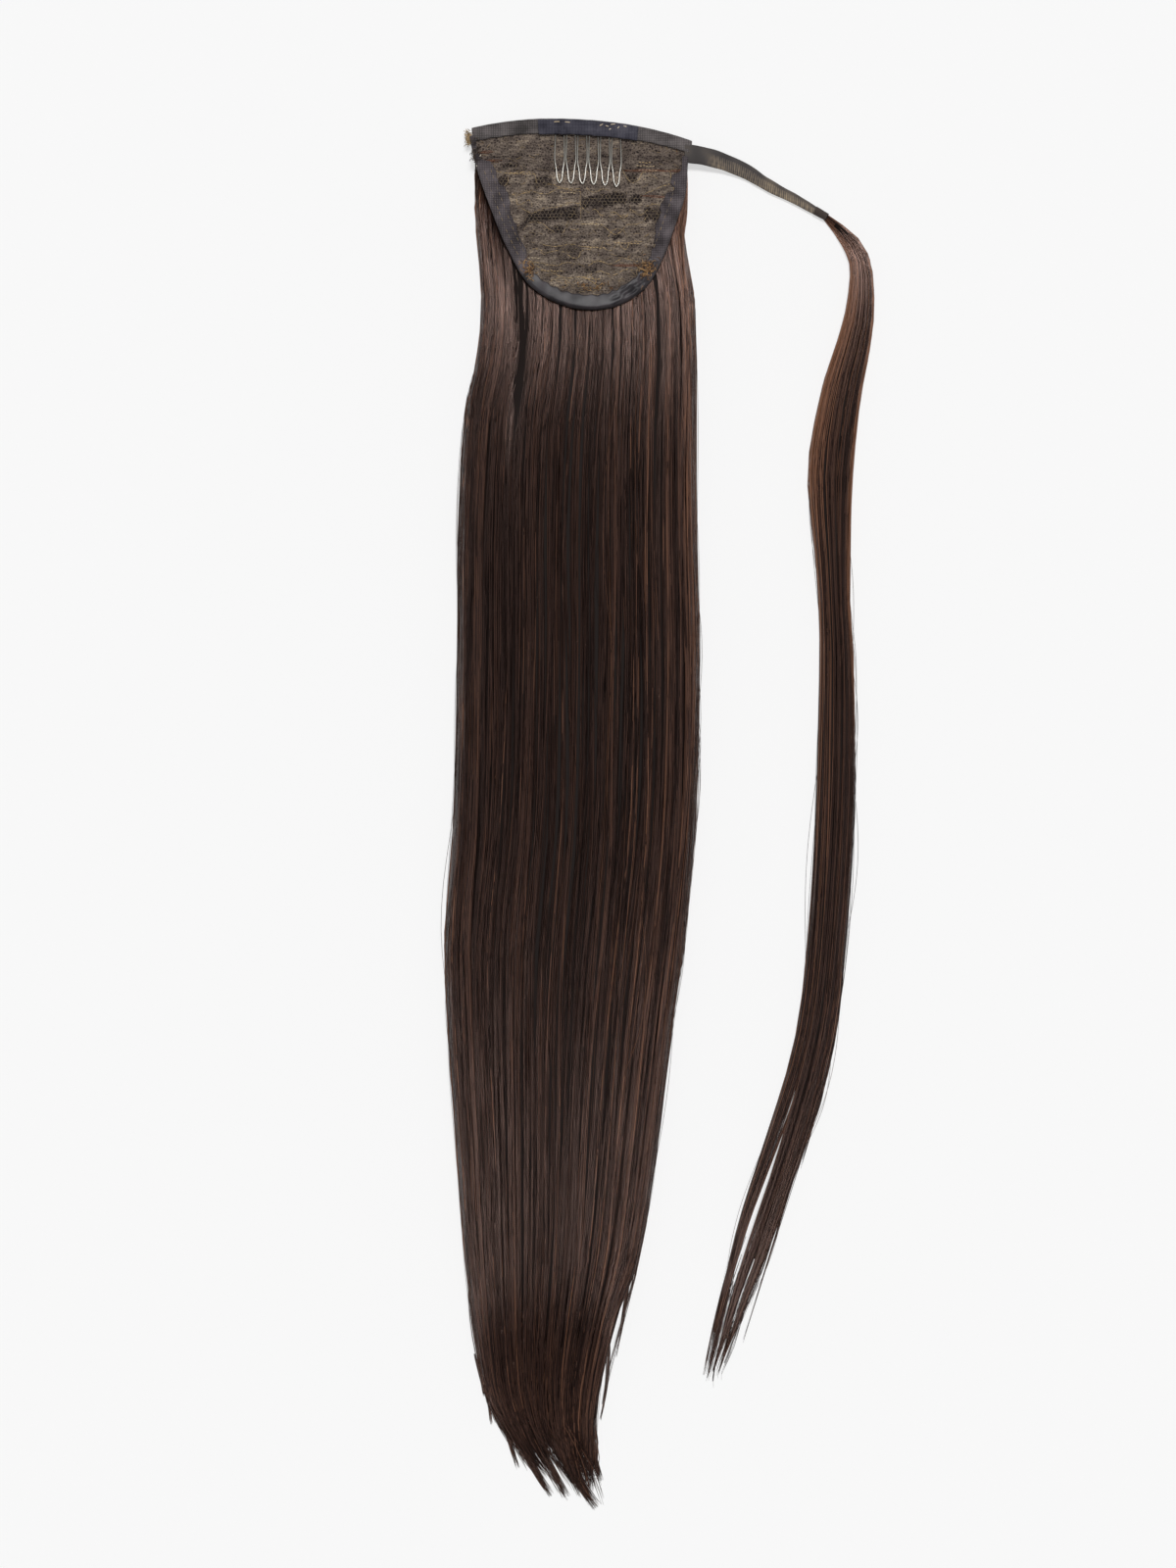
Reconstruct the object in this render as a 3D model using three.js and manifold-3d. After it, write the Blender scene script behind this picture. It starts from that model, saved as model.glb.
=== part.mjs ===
// A wrap-around ponytail hairpiece, lying on a table with the inside of its base up.
// A lace base with bound edges carries a wire comb. Straight hair is sewn to the base's far
// side and falls from under it. A tapered strap leaves the base's corner, and at its end a
// thread whipping holds one long strand of hair, which is wound round the wearer's own ponytail.
//
// Millimetres, +Z up from the table, +Y from the hair's tips towards the base, and +X towards
// the strap. The pieces are drawn from the middle of the base's top edge, and the whole group
// is then moved so that the origin is the middle of its footprint, on the table.

import * as THREE from "three";
import { mergeVertices } from "three/addons/utils/BufferGeometryUtils.js";
import Module from "manifold-3d";

const wasm = await Module();
wasm.setup();

// Driving dimensions of the base.
const PANEL_WIDTH = 88;
const PANEL_LENGTH = 77.2;
const PANEL_WALL = 1.4;
const PANEL_DROOP = 0.26; // share of its height that the base loses at its sides
const TOP_BOW = 5.9; // how far the top edge arches above a straight line
const WEFT_ROWS = 9; // sewn rows of hair, which show as ribs
const RIB_DEPTH = 0.35;
const TAPE_WALL = 1.0;
const HEADER_WIDTH = 4.8;
const SIDE_TAPE_WIDTH = 6.6;
const RIM_TAPE_WIDTH = 4.6;
const RIM_TAPE_CROWN = 0.5; // the lower rim is a satin tape, folded round and plump
const TAPE_OVERHANG = 1.5; // how far a folded tape stands out past the lace

// Driving dimensions of the comb, one wire bent to and fro with a bar at its top.
const COMB_LOOPS = 6;
const COMB_PITCH = 4.7;
const COMB_LENGTH = 20.6;
const COMB_OFFSET = 3.4; // the comb's middle, to the strap's side of the base's middle
const WIRE_DIAMETER = 0.75;
const WIRE_SIDES = 6;
const COMB_BELLY = 2.2; // height of the wire above the lace at the middle of a tooth
const COMB_TIP_LIFT = 1.1;
const COVER_WIDTH = 5.2;
const COVER_LENGTH = 41;

// Driving dimensions of the hair and the strap.
const HAIR_LENGTH = 565; // from the base's top edge to the longest tip
const FALL_WIDTH = 98.4;
const FALL_HEIGHT = 19;
const DOME_POWER = 2.6; // how square the fall's cross-section is
const LOCK_OVERLAP = 1.36;
const FALL_START = 0.012; // share of the hair's length at which its first row is sewn
const LOCK_TAPER = 52; // length over which a lock narrows to its tip
const TIP_HALF_WIDTH = 0.6;
const STRAP_LENGTH = 51.4;
const STRAP_DROP = 22.4;
const STRAP_WIDTH = 7.8;
const STRAP_HEIGHT = 2.4;
const STRAP_LANDING = 0.5; // share of the strap by which it has come down to the table
const WHIPPING_LENGTH = 6;
const WHIPPING_WIDTH = 3.7;
const WHIPPING_HEIGHT = 3.2;
const WHIPPING_TURNS = 5;
const WHIPPING_GROOVE = 0.3;
const STRAND_LENGTH = 473.6; // down from the whipping to the wrap strand's tip
const STRAND_REACH = 60; // unit of the wrap strand's sideways swings
const STRAND_WIDTH = 18;
const STRAND_HEIGHT = 6.5;
const STRAND_TAPER = 46;

// Clearances between neighbouring pieces.
const REST_GAP = 0.3; // two pieces that lie on each other
const HAIR_GAP = 0.7; // the base above the hair that carries it
const SEAM_GAP = 0.5; // two pieces sewn end to end

// The base's edge from its top left corner down, round its foot and up to its top right corner.
// side is a share of the base's width from its middle, down of its length from its top.
const BASE_EDGE = [
  { side: -0.505, down: 0.047 },
  { side: -0.468, down: 0.233 },
  { side: -0.405, down: 0.446 },
  { side: -0.318, down: 0.689 },
  { side: -0.214, down: 0.881 },
  { side: -0.041, down: 0.987 },
  { side: 0.145, down: 0.987 },
  { side: 0.286, down: 0.891 },
  { side: 0.364, down: 0.741 },
  { side: 0.427, down: 0.549 },
  { side: 0.473, down: 0.383 },
  { side: 0.486, down: 0.197 },
  { side: 0.5, down: 0.109 },
];

// Sections of the hair fall. at is a share of the hair's length, left and right of the fall's
// width from the base's middle, and crown of the fall's height.
const FALL = [
  { at: 0, left: 0.4, right: 0.41, crown: 0.02 },
  { at: 0.012, left: 0.4, right: 0.41, crown: 0.12 },
  { at: 0.034, left: 0.435, right: 0.425, crown: 0.31 },
  { at: 0.076, left: 0.43, right: 0.42, crown: 0.58 },
  { at: 0.126, left: 0.405, right: 0.47, crown: 0.79 },
  { at: 0.168, left: 0.415, right: 0.48, crown: 0.92 },
  { at: 0.2, left: 0.467, right: 0.48, crown: 0.98 },
  { at: 0.282, left: 0.5, right: 0.48, crown: 1 },
  { at: 0.395, left: 0.508, right: 0.492, crown: 1 },
  { at: 0.508, left: 0.524, right: 0.476, crown: 1 },
  { at: 0.593, left: 0.561, right: 0.43, crown: 0.98 },
  { at: 0.65, left: 0.549, right: 0.385, crown: 0.95 },
  { at: 0.735, left: 0.516, right: 0.322, crown: 0.88 },
  { at: 0.82, left: 0.48, right: 0.25, crown: 0.76 },
  { at: 0.904, left: 0.419, right: 0.125, crown: 0.56 },
  { at: 0.933, left: 0.378, right: 0.095, crown: 0.46 },
  { at: 0.961, left: 0.289, right: 0.078, crown: 0.35 },
  { at: 0.982, left: 0.179, right: 0.07, crown: 0.24 },
  { at: 1, left: 0.073, right: 0.064, crown: 0.13 },
];

// The fall's locks: where across the fall each lies, its width as a share of an even one, where
// its tip is as a share of the hair's length, and its height as a share of its place in the dome.
const FALL_LOCKS = [
  { across: 0.045, wide: 1.05, tip: 0.922, rise: 0.97 },
  { across: 0.11, wide: 0.85, tip: 0.945, rise: 1 },
  { across: 0.175, wide: 0.95, tip: 0.962, rise: 0.95 },
  { across: 0.245, wide: 1.05, tip: 0.975, rise: 0.9 },
  { across: 0.33, wide: 1.25, tip: 0.968, rise: 1 },
  { across: 0.4, wide: 0.85, tip: 0.986, rise: 0.95 },
  { across: 0.465, wide: 1, tip: 0.974, rise: 1 },
  { across: 0.545, wide: 1.2, tip: 0.994, rise: 0.97 },
  { across: 0.615, wide: 0.85, tip: 1, rise: 1 },
  { across: 0.68, wide: 0.95, tip: 0.982, rise: 0.94 },
  { across: 0.755, wide: 1.15, tip: 0.99, rise: 1 },
  { across: 0.825, wide: 0.9, tip: 0.966, rise: 0.92 },
  { across: 0.89, wide: 1, tip: 0.95, rise: 1 },
  { across: 0.955, wide: 1.05, tip: 0.926, rise: 0.96 },
];

// The strap's line from the base's corner: along and drop are shares of its length and drop.
const STRAP = [
  { along: 0, drop: 0, wide: 1 },
  { along: 0.12, drop: 0.04, wide: 0.95 },
  { along: 0.276, drop: 0.13, wide: 0.88 },
  { along: 0.463, drop: 0.304, wide: 0.79 },
  { along: 0.588, drop: 0.482, wide: 0.69 },
  { along: 0.712, drop: 0.643, wide: 0.61 },
  { along: 0.837, drop: 0.786, wide: 0.52 },
  { along: 1, drop: 1, wide: 0.42 },
];

// The wrap strand's line from the whipping: down, out and wide are shares of its length, of
// its reach and of its width, and tall of its height.
const STRAND = [
  { down: 0, out: 0, wide: 0.2, tall: 0.44 },
  { down: 0.016, out: 0.12, wide: 0.36, tall: 0.56 },
  { down: 0.033, out: 0.193, wide: 0.42, tall: 0.66 },
  { down: 0.05, out: 0.213, wide: 0.49, tall: 0.76 },
  { down: 0.084, out: 0.2, wide: 0.64, tall: 0.9 },
  { down: 0.117, out: 0.147, wide: 0.78, tall: 0.96 },
  { down: 0.151, out: 0.077, wide: 0.89, tall: 1 },
  { down: 0.219, out: 0.003, wide: 1, tall: 1 },
  { down: 0.286, out: 0.013, wide: 0.8, tall: 1 },
  { down: 0.337, out: 0.027, wide: 0.69, tall: 1 },
  { down: 0.388, out: 0.043, wide: 0.78, tall: 0.98 },
  { down: 0.523, out: 0.027, wide: 0.89, tall: 0.92 },
  { down: 0.658, out: -0.047, wide: 0.91, tall: 0.85 },
  { down: 0.726, out: -0.133, wide: 0.91, tall: 0.8 },
  { down: 0.793, out: -0.287, wide: 0.89, tall: 0.72 },
  { down: 0.861, out: -0.467, wide: 0.93, tall: 0.62 },
  { down: 0.928, out: -0.637, wide: 0.74, tall: 0.5 },
  { down: 1, out: -0.807, wide: 0.34, tall: 0.3 },
];

// The wrap strand's locks: across and tip as in the fall, and stray is how far a lock leaves
// the others over the strand's last stretch, as a share of the strand's width.
const STRAND_LOCKS = [
  { across: 0.86, tip: 0.985, stray: 0.16 },
  { across: 0.6, tip: 1, stray: 0 },
  { across: 0.36, tip: 0.972, stray: 0 },
  { across: 0.13, tip: 0.95, stray: -0.03 },
];
const STRAY_FROM = 0.77; // share of the strand's length where a lock starts to stray

const FINISHES = {
  lace: { color: 0x5d534d, roughness: 0.9, metalness: 0 },
  tape: { color: 0x514c4f, roughness: 0.75, metalness: 0 },
  satin: { color: 0x585459, roughness: 0.4, metalness: 0 },
  cover: { color: 0x3c3b45, roughness: 0.7, metalness: 0 },
  steel: { color: 0x9a9892, roughness: 0.3, metalness: 1 },
  hair: { color: 0x35241f, roughness: 0.45, metalness: 0 },
};

const lerp = THREE.MathUtils.lerp;
const clamp = THREE.MathUtils.clamp;

// A column of a table at a value of its key column, on a smooth curve through the rows.
function readTable(table, key, column, value) {
  const last = table.length - 1;
  let i = 0;
  while (i < last - 1 && value > table[i + 1][key]) i++;
  const [before, from, to, after] = [Math.max(i - 1, 0), i, i + 1, Math.min(i + 2, last)].map(
    (row) => table[row],
  );
  const span = to[key] - from[key];
  const t = clamp((value - from[key]) / span, 0, 1);
  const slopeFrom = (to[column] - before[column]) / (to[key] - before[key]);
  const slopeTo = (after[column] - from[column]) / (after[key] - from[key]);
  const square = t * t;
  const cube = square * t;
  return (
    (2 * cube - 3 * square + 1) * from[column] +
    (cube - 2 * square + t) * span * slopeFrom +
    (3 * square - 2 * cube) * to[column] +
    (cube - square) * span * slopeTo
  );
}

// Joins cross-sections into one closed body. Each station has a place (x, y), the direction
// (ax, ay) to the left of the way it faces, and a profile that runs counterclockwise:
// a to the left, z up, and lift, if any, a shift along Y.
function loft(stations) {
  const count = stations[0].profile.length;
  const positions = stations.flatMap(({ x, y, ax, ay, profile }) =>
    profile.flatMap(({ a, z, lift = 0 }) => [x + a * ax, y + a * ay + lift, z]),
  );
  const index = [];
  for (let k = 0; k < stations.length - 1; k++) {
    for (let i = 0; i < count; i++) {
      const here = k * count + i;
      const next = k * count + ((i + 1) % count);
      index.push(here, next, here + count, next, next + count, here + count);
    }
  }
  // The two ends are closed by a strip between the profile's lower and upper run.
  const lastRing = (stations.length - 1) * count;
  const close = (a, b, c) => index.push(a, c, b, lastRing + a, lastRing + b, lastRing + c);
  for (let i = 0, j = count - 1; i + 1 < j; i++, j--) {
    close(i, i + 1, j);
    if (i + 2 < j) close(i + 1, j - 1, j);
  }
  const geometry = new THREE.BufferGeometry();
  geometry.setAttribute("position", new THREE.Float32BufferAttribute(positions, 3));
  geometry.setIndex(index);
  return geometry;
}

function solidFrom(geometry) {
  const bare = geometry.clone();
  bare.deleteAttribute("normal");
  bare.deleteAttribute("uv");
  const merged = mergeVertices(bare, 1e-4);
  return new wasm.Manifold(
    new wasm.Mesh({
      numProp: 3,
      vertProperties: merged.attributes.position.array,
      triVerts: new Uint32Array(merged.index.array),
    }),
  );
}

// Fuses overlapping bodies into one.
function fuse(geometries) {
  const whole = geometries.map(solidFrom).reduce((sum, solid) => sum.add(solid));
  const { vertProperties, triVerts } = whole.getMesh();
  const geometry = new THREE.BufferGeometry();
  geometry.setAttribute("position", new THREE.BufferAttribute(vertProperties, 3));
  geometry.setIndex(new THREE.BufferAttribute(triVerts, 1));
  return geometry;
}

function makePiece(name, geometry, finish) {
  geometry.computeVertexNormals();
  const mesh = new THREE.Mesh(geometry, new THREE.MeshStandardMaterial(FINISHES[finish]));
  mesh.name = name;
  return mesh;
}

// The hair fall's section at a share of its length: its two sides and its crown's height.
function fallAt(at) {
  return {
    left: -readTable(FALL, "at", "left", at) * FALL_WIDTH,
    right: readTable(FALL, "at", "right", at) * FALL_WIDTH,
    crown: readTable(FALL, "at", "crown", at) * FALL_HEIGHT,
  };
}

// Height of the dome at a share of its half width, as a share of its crown.
const domeAt = (t) => (1 - Math.min(Math.abs(t), 1) ** DOME_POWER) ** (1 / DOME_POWER);

// The base lies on the hair's dome, a little flatter than it.
function panelUnder(x, y) {
  const side = x / (PANEL_WIDTH / 2);
  return HAIR_GAP + fallAt(-y / HAIR_LENGTH).crown * (1 - PANEL_DROOP * side * side);
}
const panelTop = (x, y) => panelUnder(x, y) + PANEL_WALL;

const baseEdge = new THREE.CatmullRomCurve3(
  BASE_EDGE.map(
    ({ side, down }) => new THREE.Vector3(side * PANEL_WIDTH, -down * PANEL_LENGTH, 0),
  ),
);
const FOOT = 0.53; // share of the edge's run at which it passes its lowest point

// The base's edge at a height, on its left or its right side, found by halving.
function edgeAtHeight(onLeft, y) {
  let [upper, lower] = onLeft ? [0, FOOT] : [1, FOOT];
  for (let i = 0; i < 24; i++) {
    const middle = (upper + lower) / 2;
    if (baseEdge.getPointAt(middle).y > y) upper = middle;
    else lower = middle;
  }
  return baseEdge.getPointAt(lower);
}

const LOWEST_ROW = 0.975; // share of the base's length where its rows end, under the rim tape
const BOW_POWER = 2.2;

// A row across the base. v runs from the top edge to the foot.
function rowAt(v) {
  const [left, right] = [0, 1].map((t) =>
    edgeAtHeight(t === 0, lerp(baseEdge.getPointAt(t).y, -LOWEST_ROW * PANEL_LENGTH, v)),
  );
  const bow = TOP_BOW * (1 - v) ** 1.5;
  const width = right.x - left.x;
  const point = (u) => ({
    x: lerp(left.x, right.x, u),
    y: lerp(left.y, right.y, u) + bow * (1 - Math.abs(2 * u - 1) ** BOW_POWER),
  });
  return { left, width, point };
}

// A sheet of cloth over part of the base: under and over give its two faces' heights at (x, y),
// and from and to its ends across the row as shares.
function clothStation(row, from, to, columns, under, over) {
  const across = Array.from({ length: columns + 1 }, (_, i) => row.point(lerp(from, to, i / columns)));
  const start = across[0];
  const profilePoint = ({ x, y }, z) => ({ a: x - start.x, z, lift: y - start.y });
  const profile = [
    ...across.map((p, i) => profilePoint(p, under(p.x, p.y, i))),
    ...across.map((p, i) => profilePoint(p, over(p.x, p.y, i))).reverse(),
  ];
  return { x: start.x, y: start.y, ax: 1, ay: 0, profile };
}

const PANEL_COLUMNS = 12;

function lacePanel() {
  const rows = WEFT_ROWS * 2 + 1;
  const stations = Array.from({ length: rows }, (_, k) => {
    const sewn = k % 2 === 1; // each rib lies between two sewn lines
    const top = (x, y, i) => {
      const inside = i > 1 && i < PANEL_COLUMNS - 1;
      return panelTop(x, y) - (sewn && inside ? RIB_DEPTH : 0);
    };
    return clothStation(rowAt(k / (rows - 1)), 0, 1, PANEL_COLUMNS, panelUnder, top);
  });
  return loft(stations);
}

// The share of the base's length that a width in millimetres takes up at the top edge.
const downShare = (millimetres) => millimetres / (LOWEST_ROW * PANEL_LENGTH);

function headerTape() {
  const under = (x, y) => panelTop(x, y) + REST_GAP;
  const over = (x, y) => under(x, y) + TAPE_WALL;
  const stations = [0, 0.5, 1].map((t) =>
    clothStation(rowAt(t * downShare(HEADER_WIDTH)), 0, 1, PANEL_COLUMNS, under, over),
  );
  return loft(stations);
}

const COVER_FROM = 1.6; // the cover's upper edge, below the base's top edge

function combCover() {
  const under = (x, y) => panelTop(x, y) + REST_GAP + TAPE_WALL + REST_GAP;
  const over = (x, y) => under(x, y) + TAPE_WALL;
  const middle = 0.5 + COMB_OFFSET / PANEL_WIDTH;
  const half = COVER_LENGTH / 2 / PANEL_WIDTH;
  const stations = [0, 0.5, 1].map((t) =>
    clothStation(
      rowAt(downShare(COVER_FROM + t * COVER_WIDTH)),
      middle - half,
      middle + half,
      8,
      under,
      over,
    ),
  );
  return loft(stations);
}

// A tape sewn along the base's edge and folded down past it, between two shares of the edge's run.
function rimTape(from, to, width, crown, steps) {
  const stations = Array.from({ length: steps + 1 }, (_, k) => {
    const t = lerp(from, to, k / steps);
    const { x, y } = baseEdge.getPointAt(t);
    const tangent = baseEdge.getTangentAt(t);
    const [ax, ay] = [-tangent.y, tangent.x];
    const at = (a) => [x + a * ax, y + a * ay];
    const seat = (a) => panelTop(...at(a)) + REST_GAP;
    const fold = -TAPE_OVERHANG;
    const edge = -TAPE_OVERHANG / 3;
    const middle = width / 2 - TAPE_OVERHANG / 2;
    const profile = [
      { a: fold, z: panelUnder(...at(fold)) + REST_GAP },
      { a: edge, z: panelUnder(...at(edge)) + REST_GAP },
      { a: edge, z: seat(edge) },
      { a: width, z: seat(width) },
      { a: width, z: seat(width) + TAPE_WALL },
      { a: middle, z: seat(middle) + TAPE_WALL + crown },
      { a: fold, z: seat(fold) + TAPE_WALL * 0.7 },
    ];
    return { x, y, ax, ay, profile };
  });
  return loft(stations);
}

const RIM_FROM = 0.335;
const RIM_TO = 0.735;
const LEFT_TAPE_FROM = 0.033;
const RIGHT_TAPE_TO = 0.95;
const TAPE_STEP = 0.004; // share of the edge's run between the ends of two tapes

// The comb's wire over the lace. p runs from the bar to the tips.
const COMB_TOP = HEADER_WIDTH + SEAM_GAP + WIRE_DIAMETER / 2;
const BAR_LIFT = REST_GAP + TAPE_WALL - WIRE_DIAMETER / 2;

function combPoint(across, p, lift) {
  const { x, y } = rowAt(downShare(COMB_TOP)).point(0.5 + (COMB_OFFSET + across) / PANEL_WIDTH);
  const down = y - p * COMB_LENGTH;
  return new THREE.Vector3(x, down, panelTop(x, down) + lift);
}

// One tooth's half outline, from the bar down to its tip.
const TOOTH = [
  { p: 0, half: 0.4, lift: 0 },
  { p: 0.1, half: 0.41, lift: 0 },
  { p: 0.3, half: 0.44, lift: 0.7 },
  { p: 0.56, half: 0.44, lift: 1 },
  { p: 0.74, half: 0.29, lift: 0.85 },
  { p: 0.92, half: 0.2, lift: 0.35 },
  { p: 1, half: 0, lift: 0.1 },
];

function combWire() {
  const section = new THREE.Shape(
    Array.from({ length: WIRE_SIDES }, (_, i) => {
      const angle = (i * 2 * Math.PI) / WIRE_SIDES;
      return new THREE.Vector2(Math.cos(angle), Math.sin(angle)).multiplyScalar(WIRE_DIAMETER / 2);
    }),
  );
  const along = (path, steps) =>
    new THREE.ExtrudeGeometry(section, { steps, extrudePath: path, bevelEnabled: false });
  const lifted = (share) => lerp(BAR_LIFT, COMB_BELLY, share);
  const teeth = Array.from({ length: COMB_LOOPS }, (_, i) => {
    const centre = (i - (COMB_LOOPS - 1) / 2) * COMB_PITCH;
    const side = (sign) =>
      TOOTH.slice(0, -1).map(({ p, half, lift }) =>
        combPoint(centre + sign * half * COMB_PITCH, p, lifted(lift)),
      );
    const tip = combPoint(centre, 1, COMB_TIP_LIFT);
    return along(new THREE.CatmullRomCurve3([...side(-1), tip, ...side(1).reverse()]), 14);
  });
  const reach = (COMB_LOOPS / 2) * COMB_PITCH;
  const bar = Array.from({ length: 5 }, (_, i) => combPoint(lerp(-reach, reach, i / 4), 0, BAR_LIFT));
  return fuse([...teeth, along(new THREE.CatmullRomCurve3(bar), 8)]);
}

// A lock of hair: flat where it lies on the table, upright sides and a rounded back.
function lockProfile(centre, half, height) {
  const shoulder = Math.min(0.5 * half, 0.45 * height);
  return [
    { a: centre - 0.85 * half, z: 0 },
    { a: centre + 0.85 * half, z: 0 },
    { a: centre + half, z: 0.4 * height },
    { a: centre + 0.78 * half, z: height - shoulder },
    { a: centre + 0.3 * half, z: height },
    { a: centre - 0.3 * half, z: height },
    { a: centre - 0.78 * half, z: height - shoulder },
    { a: centre - half, z: 0.4 * height },
  ];
}

// Shares of a lock's run, closer together at its root and its tip.
const easedSteps = (count) =>
  Array.from({ length: count + 1 }, (_, k) => (1 - Math.cos((k / count) * Math.PI)) / 2);

// How wide and tall a lock still is, given how far it is from its tip.
const taperAt = (distance, taper) => Math.sqrt(clamp(distance / taper, 0, 1));

function fallLock({ across, wide, tip, rise }) {
  const stations = easedSteps(16).map((share) => {
    const at = lerp(FALL_START, tip, share);
    const { left, right, crown } = fallAt(at);
    const shape = taperAt((tip - at) * HAIR_LENGTH, LOCK_TAPER);
    const half = (0.5 * LOCK_OVERLAP * wide * (right - left)) / FALL_LOCKS.length;
    const height = crown * rise * domeAt(2 * across - 1);
    return {
      x: lerp(left, right, across),
      y: -at * HAIR_LENGTH,
      ax: 1,
      ay: 0,
      profile: lockProfile(
        0,
        Math.max(half * shape, TIP_HALF_WIDTH),
        Math.max(height * shape, 2 * TIP_HALF_WIDTH),
      ),
    };
  });
  return loft(stations);
}

// The strap starts a seam's gap off the base's top right corner.
const STRAP_ROOT_DOWN = 0.172; // share of the base's length down to the strap's root
const strapRoot = {
  x: baseEdge.getPointAt(1).x + SEAM_GAP,
  y: -STRAP_ROOT_DOWN * PANEL_LENGTH,
};

function strapPoint(along) {
  const drop = readTable(STRAP, "along", "drop", along);
  return { x: strapRoot.x + along * STRAP_LENGTH, y: strapRoot.y - drop * STRAP_DROP };
}

// The direction to the left of the way from one point to another.
function leftOf(from, to) {
  const length = Math.hypot(to.x - from.x, to.y - from.y);
  return { ax: -(to.y - from.y) / length, ay: (to.x - from.x) / length };
}

// A flat bundle's section between two heights.
function bundleProfile(half, low, high) {
  const bevel = Math.min(0.45 * half, 0.35 * (high - low));
  return [
    { a: -half + bevel, z: low },
    { a: half - bevel, z: low },
    { a: half, z: low + bevel },
    { a: half, z: high - bevel },
    { a: half - bevel, z: high },
    { a: -half + bevel, z: high },
    { a: -half, z: high - bevel },
    { a: -half, z: low + bevel },
  ];
}

function strap() {
  const steps = 16;
  const rootHeight = panelUnder(strapRoot.x, strapRoot.y);
  const stations = Array.from({ length: steps + 1 }, (_, k) => {
    const along = k / steps;
    const nudge = 0.5 / steps;
    const [before, after] = [Math.max(along - nudge, 0), Math.min(along + nudge, 1)].map(strapPoint);
    const landing = clamp(1 - along / STRAP_LANDING, 0, 1);
    const low = rootHeight * landing * landing * (3 - 2 * landing);
    const half = (readTable(STRAP, "along", "wide", along) * STRAP_WIDTH) / 2;
    return {
      ...strapPoint(along),
      ...(k === 0 ? { ax: 0, ay: 1 } : leftOf(before, after)),
      profile: bundleProfile(half, low, low + STRAP_HEIGHT),
    };
  });
  return loft(stations);
}

// The whipping continues the strap's line, and the strand starts at its far end.
const strapEnd = strapPoint(1);
const whippingLeft = leftOf(strapPoint(0.9), strapEnd);
const alongWhipping = (distance) => ({
  x: strapEnd.x + distance * whippingLeft.ay,
  y: strapEnd.y - distance * whippingLeft.ax,
});

function threadWhipping() {
  const steps = WHIPPING_TURNS * 2;
  const stations = Array.from({ length: steps + 1 }, (_, k) => {
    const groove = k % 2 === 0 ? WHIPPING_GROOVE : 0;
    const half = WHIPPING_WIDTH / 2 - groove;
    return {
      ...alongWhipping(REST_GAP + (WHIPPING_LENGTH * k) / steps),
      ...whippingLeft,
      profile: bundleProfile(half, groove / 2, WHIPPING_HEIGHT - groove / 2),
    };
  });
  return loft(stations);
}

const strandRoot = alongWhipping(WHIPPING_LENGTH + 2 * REST_GAP);

function strandPoint(down) {
  return {
    x: strandRoot.x + readTable(STRAND, "down", "out", down) * STRAND_REACH,
    y: strandRoot.y - down * STRAND_LENGTH,
  };
}

function strandLock({ across, tip, stray }) {
  const nudge = 0.004;
  const stations = easedSteps(24).map((share) => {
    const down = share * tip;
    const { ax, ay } =
      down === 0 ? whippingLeft : leftOf(strandPoint(Math.max(down - nudge, 0)), strandPoint(down + nudge));
    const width = readTable(STRAND, "down", "wide", down) * STRAND_WIDTH;
    const strayed = clamp((down - STRAY_FROM) / (1 - STRAY_FROM), 0, 1);
    const shape = taperAt((tip - down) * STRAND_LENGTH, STRAND_TAPER);
    const half = (0.5 * LOCK_OVERLAP * width) / STRAND_LOCKS.length;
    const height = readTable(STRAND, "down", "tall", down) * STRAND_HEIGHT * domeAt(across - 0.5);
    const centre = (0.5 - across) * width - stray * STRAND_WIDTH * Math.sin(strayed * Math.PI);
    return {
      ...strandPoint(down),
      ax,
      ay,
      profile: lockProfile(
        centre,
        Math.max(half * shape, TIP_HALF_WIDTH),
        Math.max(height * shape, 2 * TIP_HALF_WIDTH),
      ),
    };
  });
  return loft(stations);
}

const ponytail = new THREE.Group();
ponytail.add(
  makePiece("lace_panel", lacePanel(), "lace"),
  makePiece("header_tape", headerTape(), "tape"),
  makePiece("left_tape", rimTape(LEFT_TAPE_FROM, RIM_FROM - TAPE_STEP, SIDE_TAPE_WIDTH, 0, 12), "tape"),
  makePiece("right_tape", rimTape(RIM_TO + TAPE_STEP, RIGHT_TAPE_TO, SIDE_TAPE_WIDTH, 0, 8), "tape"),
  makePiece("rim_tape", rimTape(RIM_FROM, RIM_TO, RIM_TAPE_WIDTH, RIM_TAPE_CROWN, 18), "satin"),
  makePiece("comb_cover", combCover(), "cover"),
  makePiece("comb_wire", combWire(), "steel"),
  makePiece("strap", strap(), "tape"),
  makePiece("thread_whipping", threadWhipping(), "tape"),
  makePiece("hair_fall", fuse(FALL_LOCKS.map(fallLock)), "hair"),
  makePiece("wrap_strand", fuse(STRAND_LOCKS.map(strandLock)), "hair"),
);

const footprint = new THREE.Box3().setFromObject(ponytail);
const middle = footprint.getCenter(new THREE.Vector3());
ponytail.position.set(-middle.x, -middle.y, -footprint.min.z);

export default ponytail;
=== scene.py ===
# %% [markdown]
# A wrap-around ponytail hairpiece, laid flat on a pale table with the inside of its base up.
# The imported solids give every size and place. This lesson dresses them: single hairs over the
# hair's solids, lace, tapes and stitches over the base, and bright wire for the comb.
# Lengths are written in millimetres, from the middle of the base's top edge, and one function
# takes them to the frame that the solids stand in, which is in metres.

# %% The frame
import math

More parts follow.
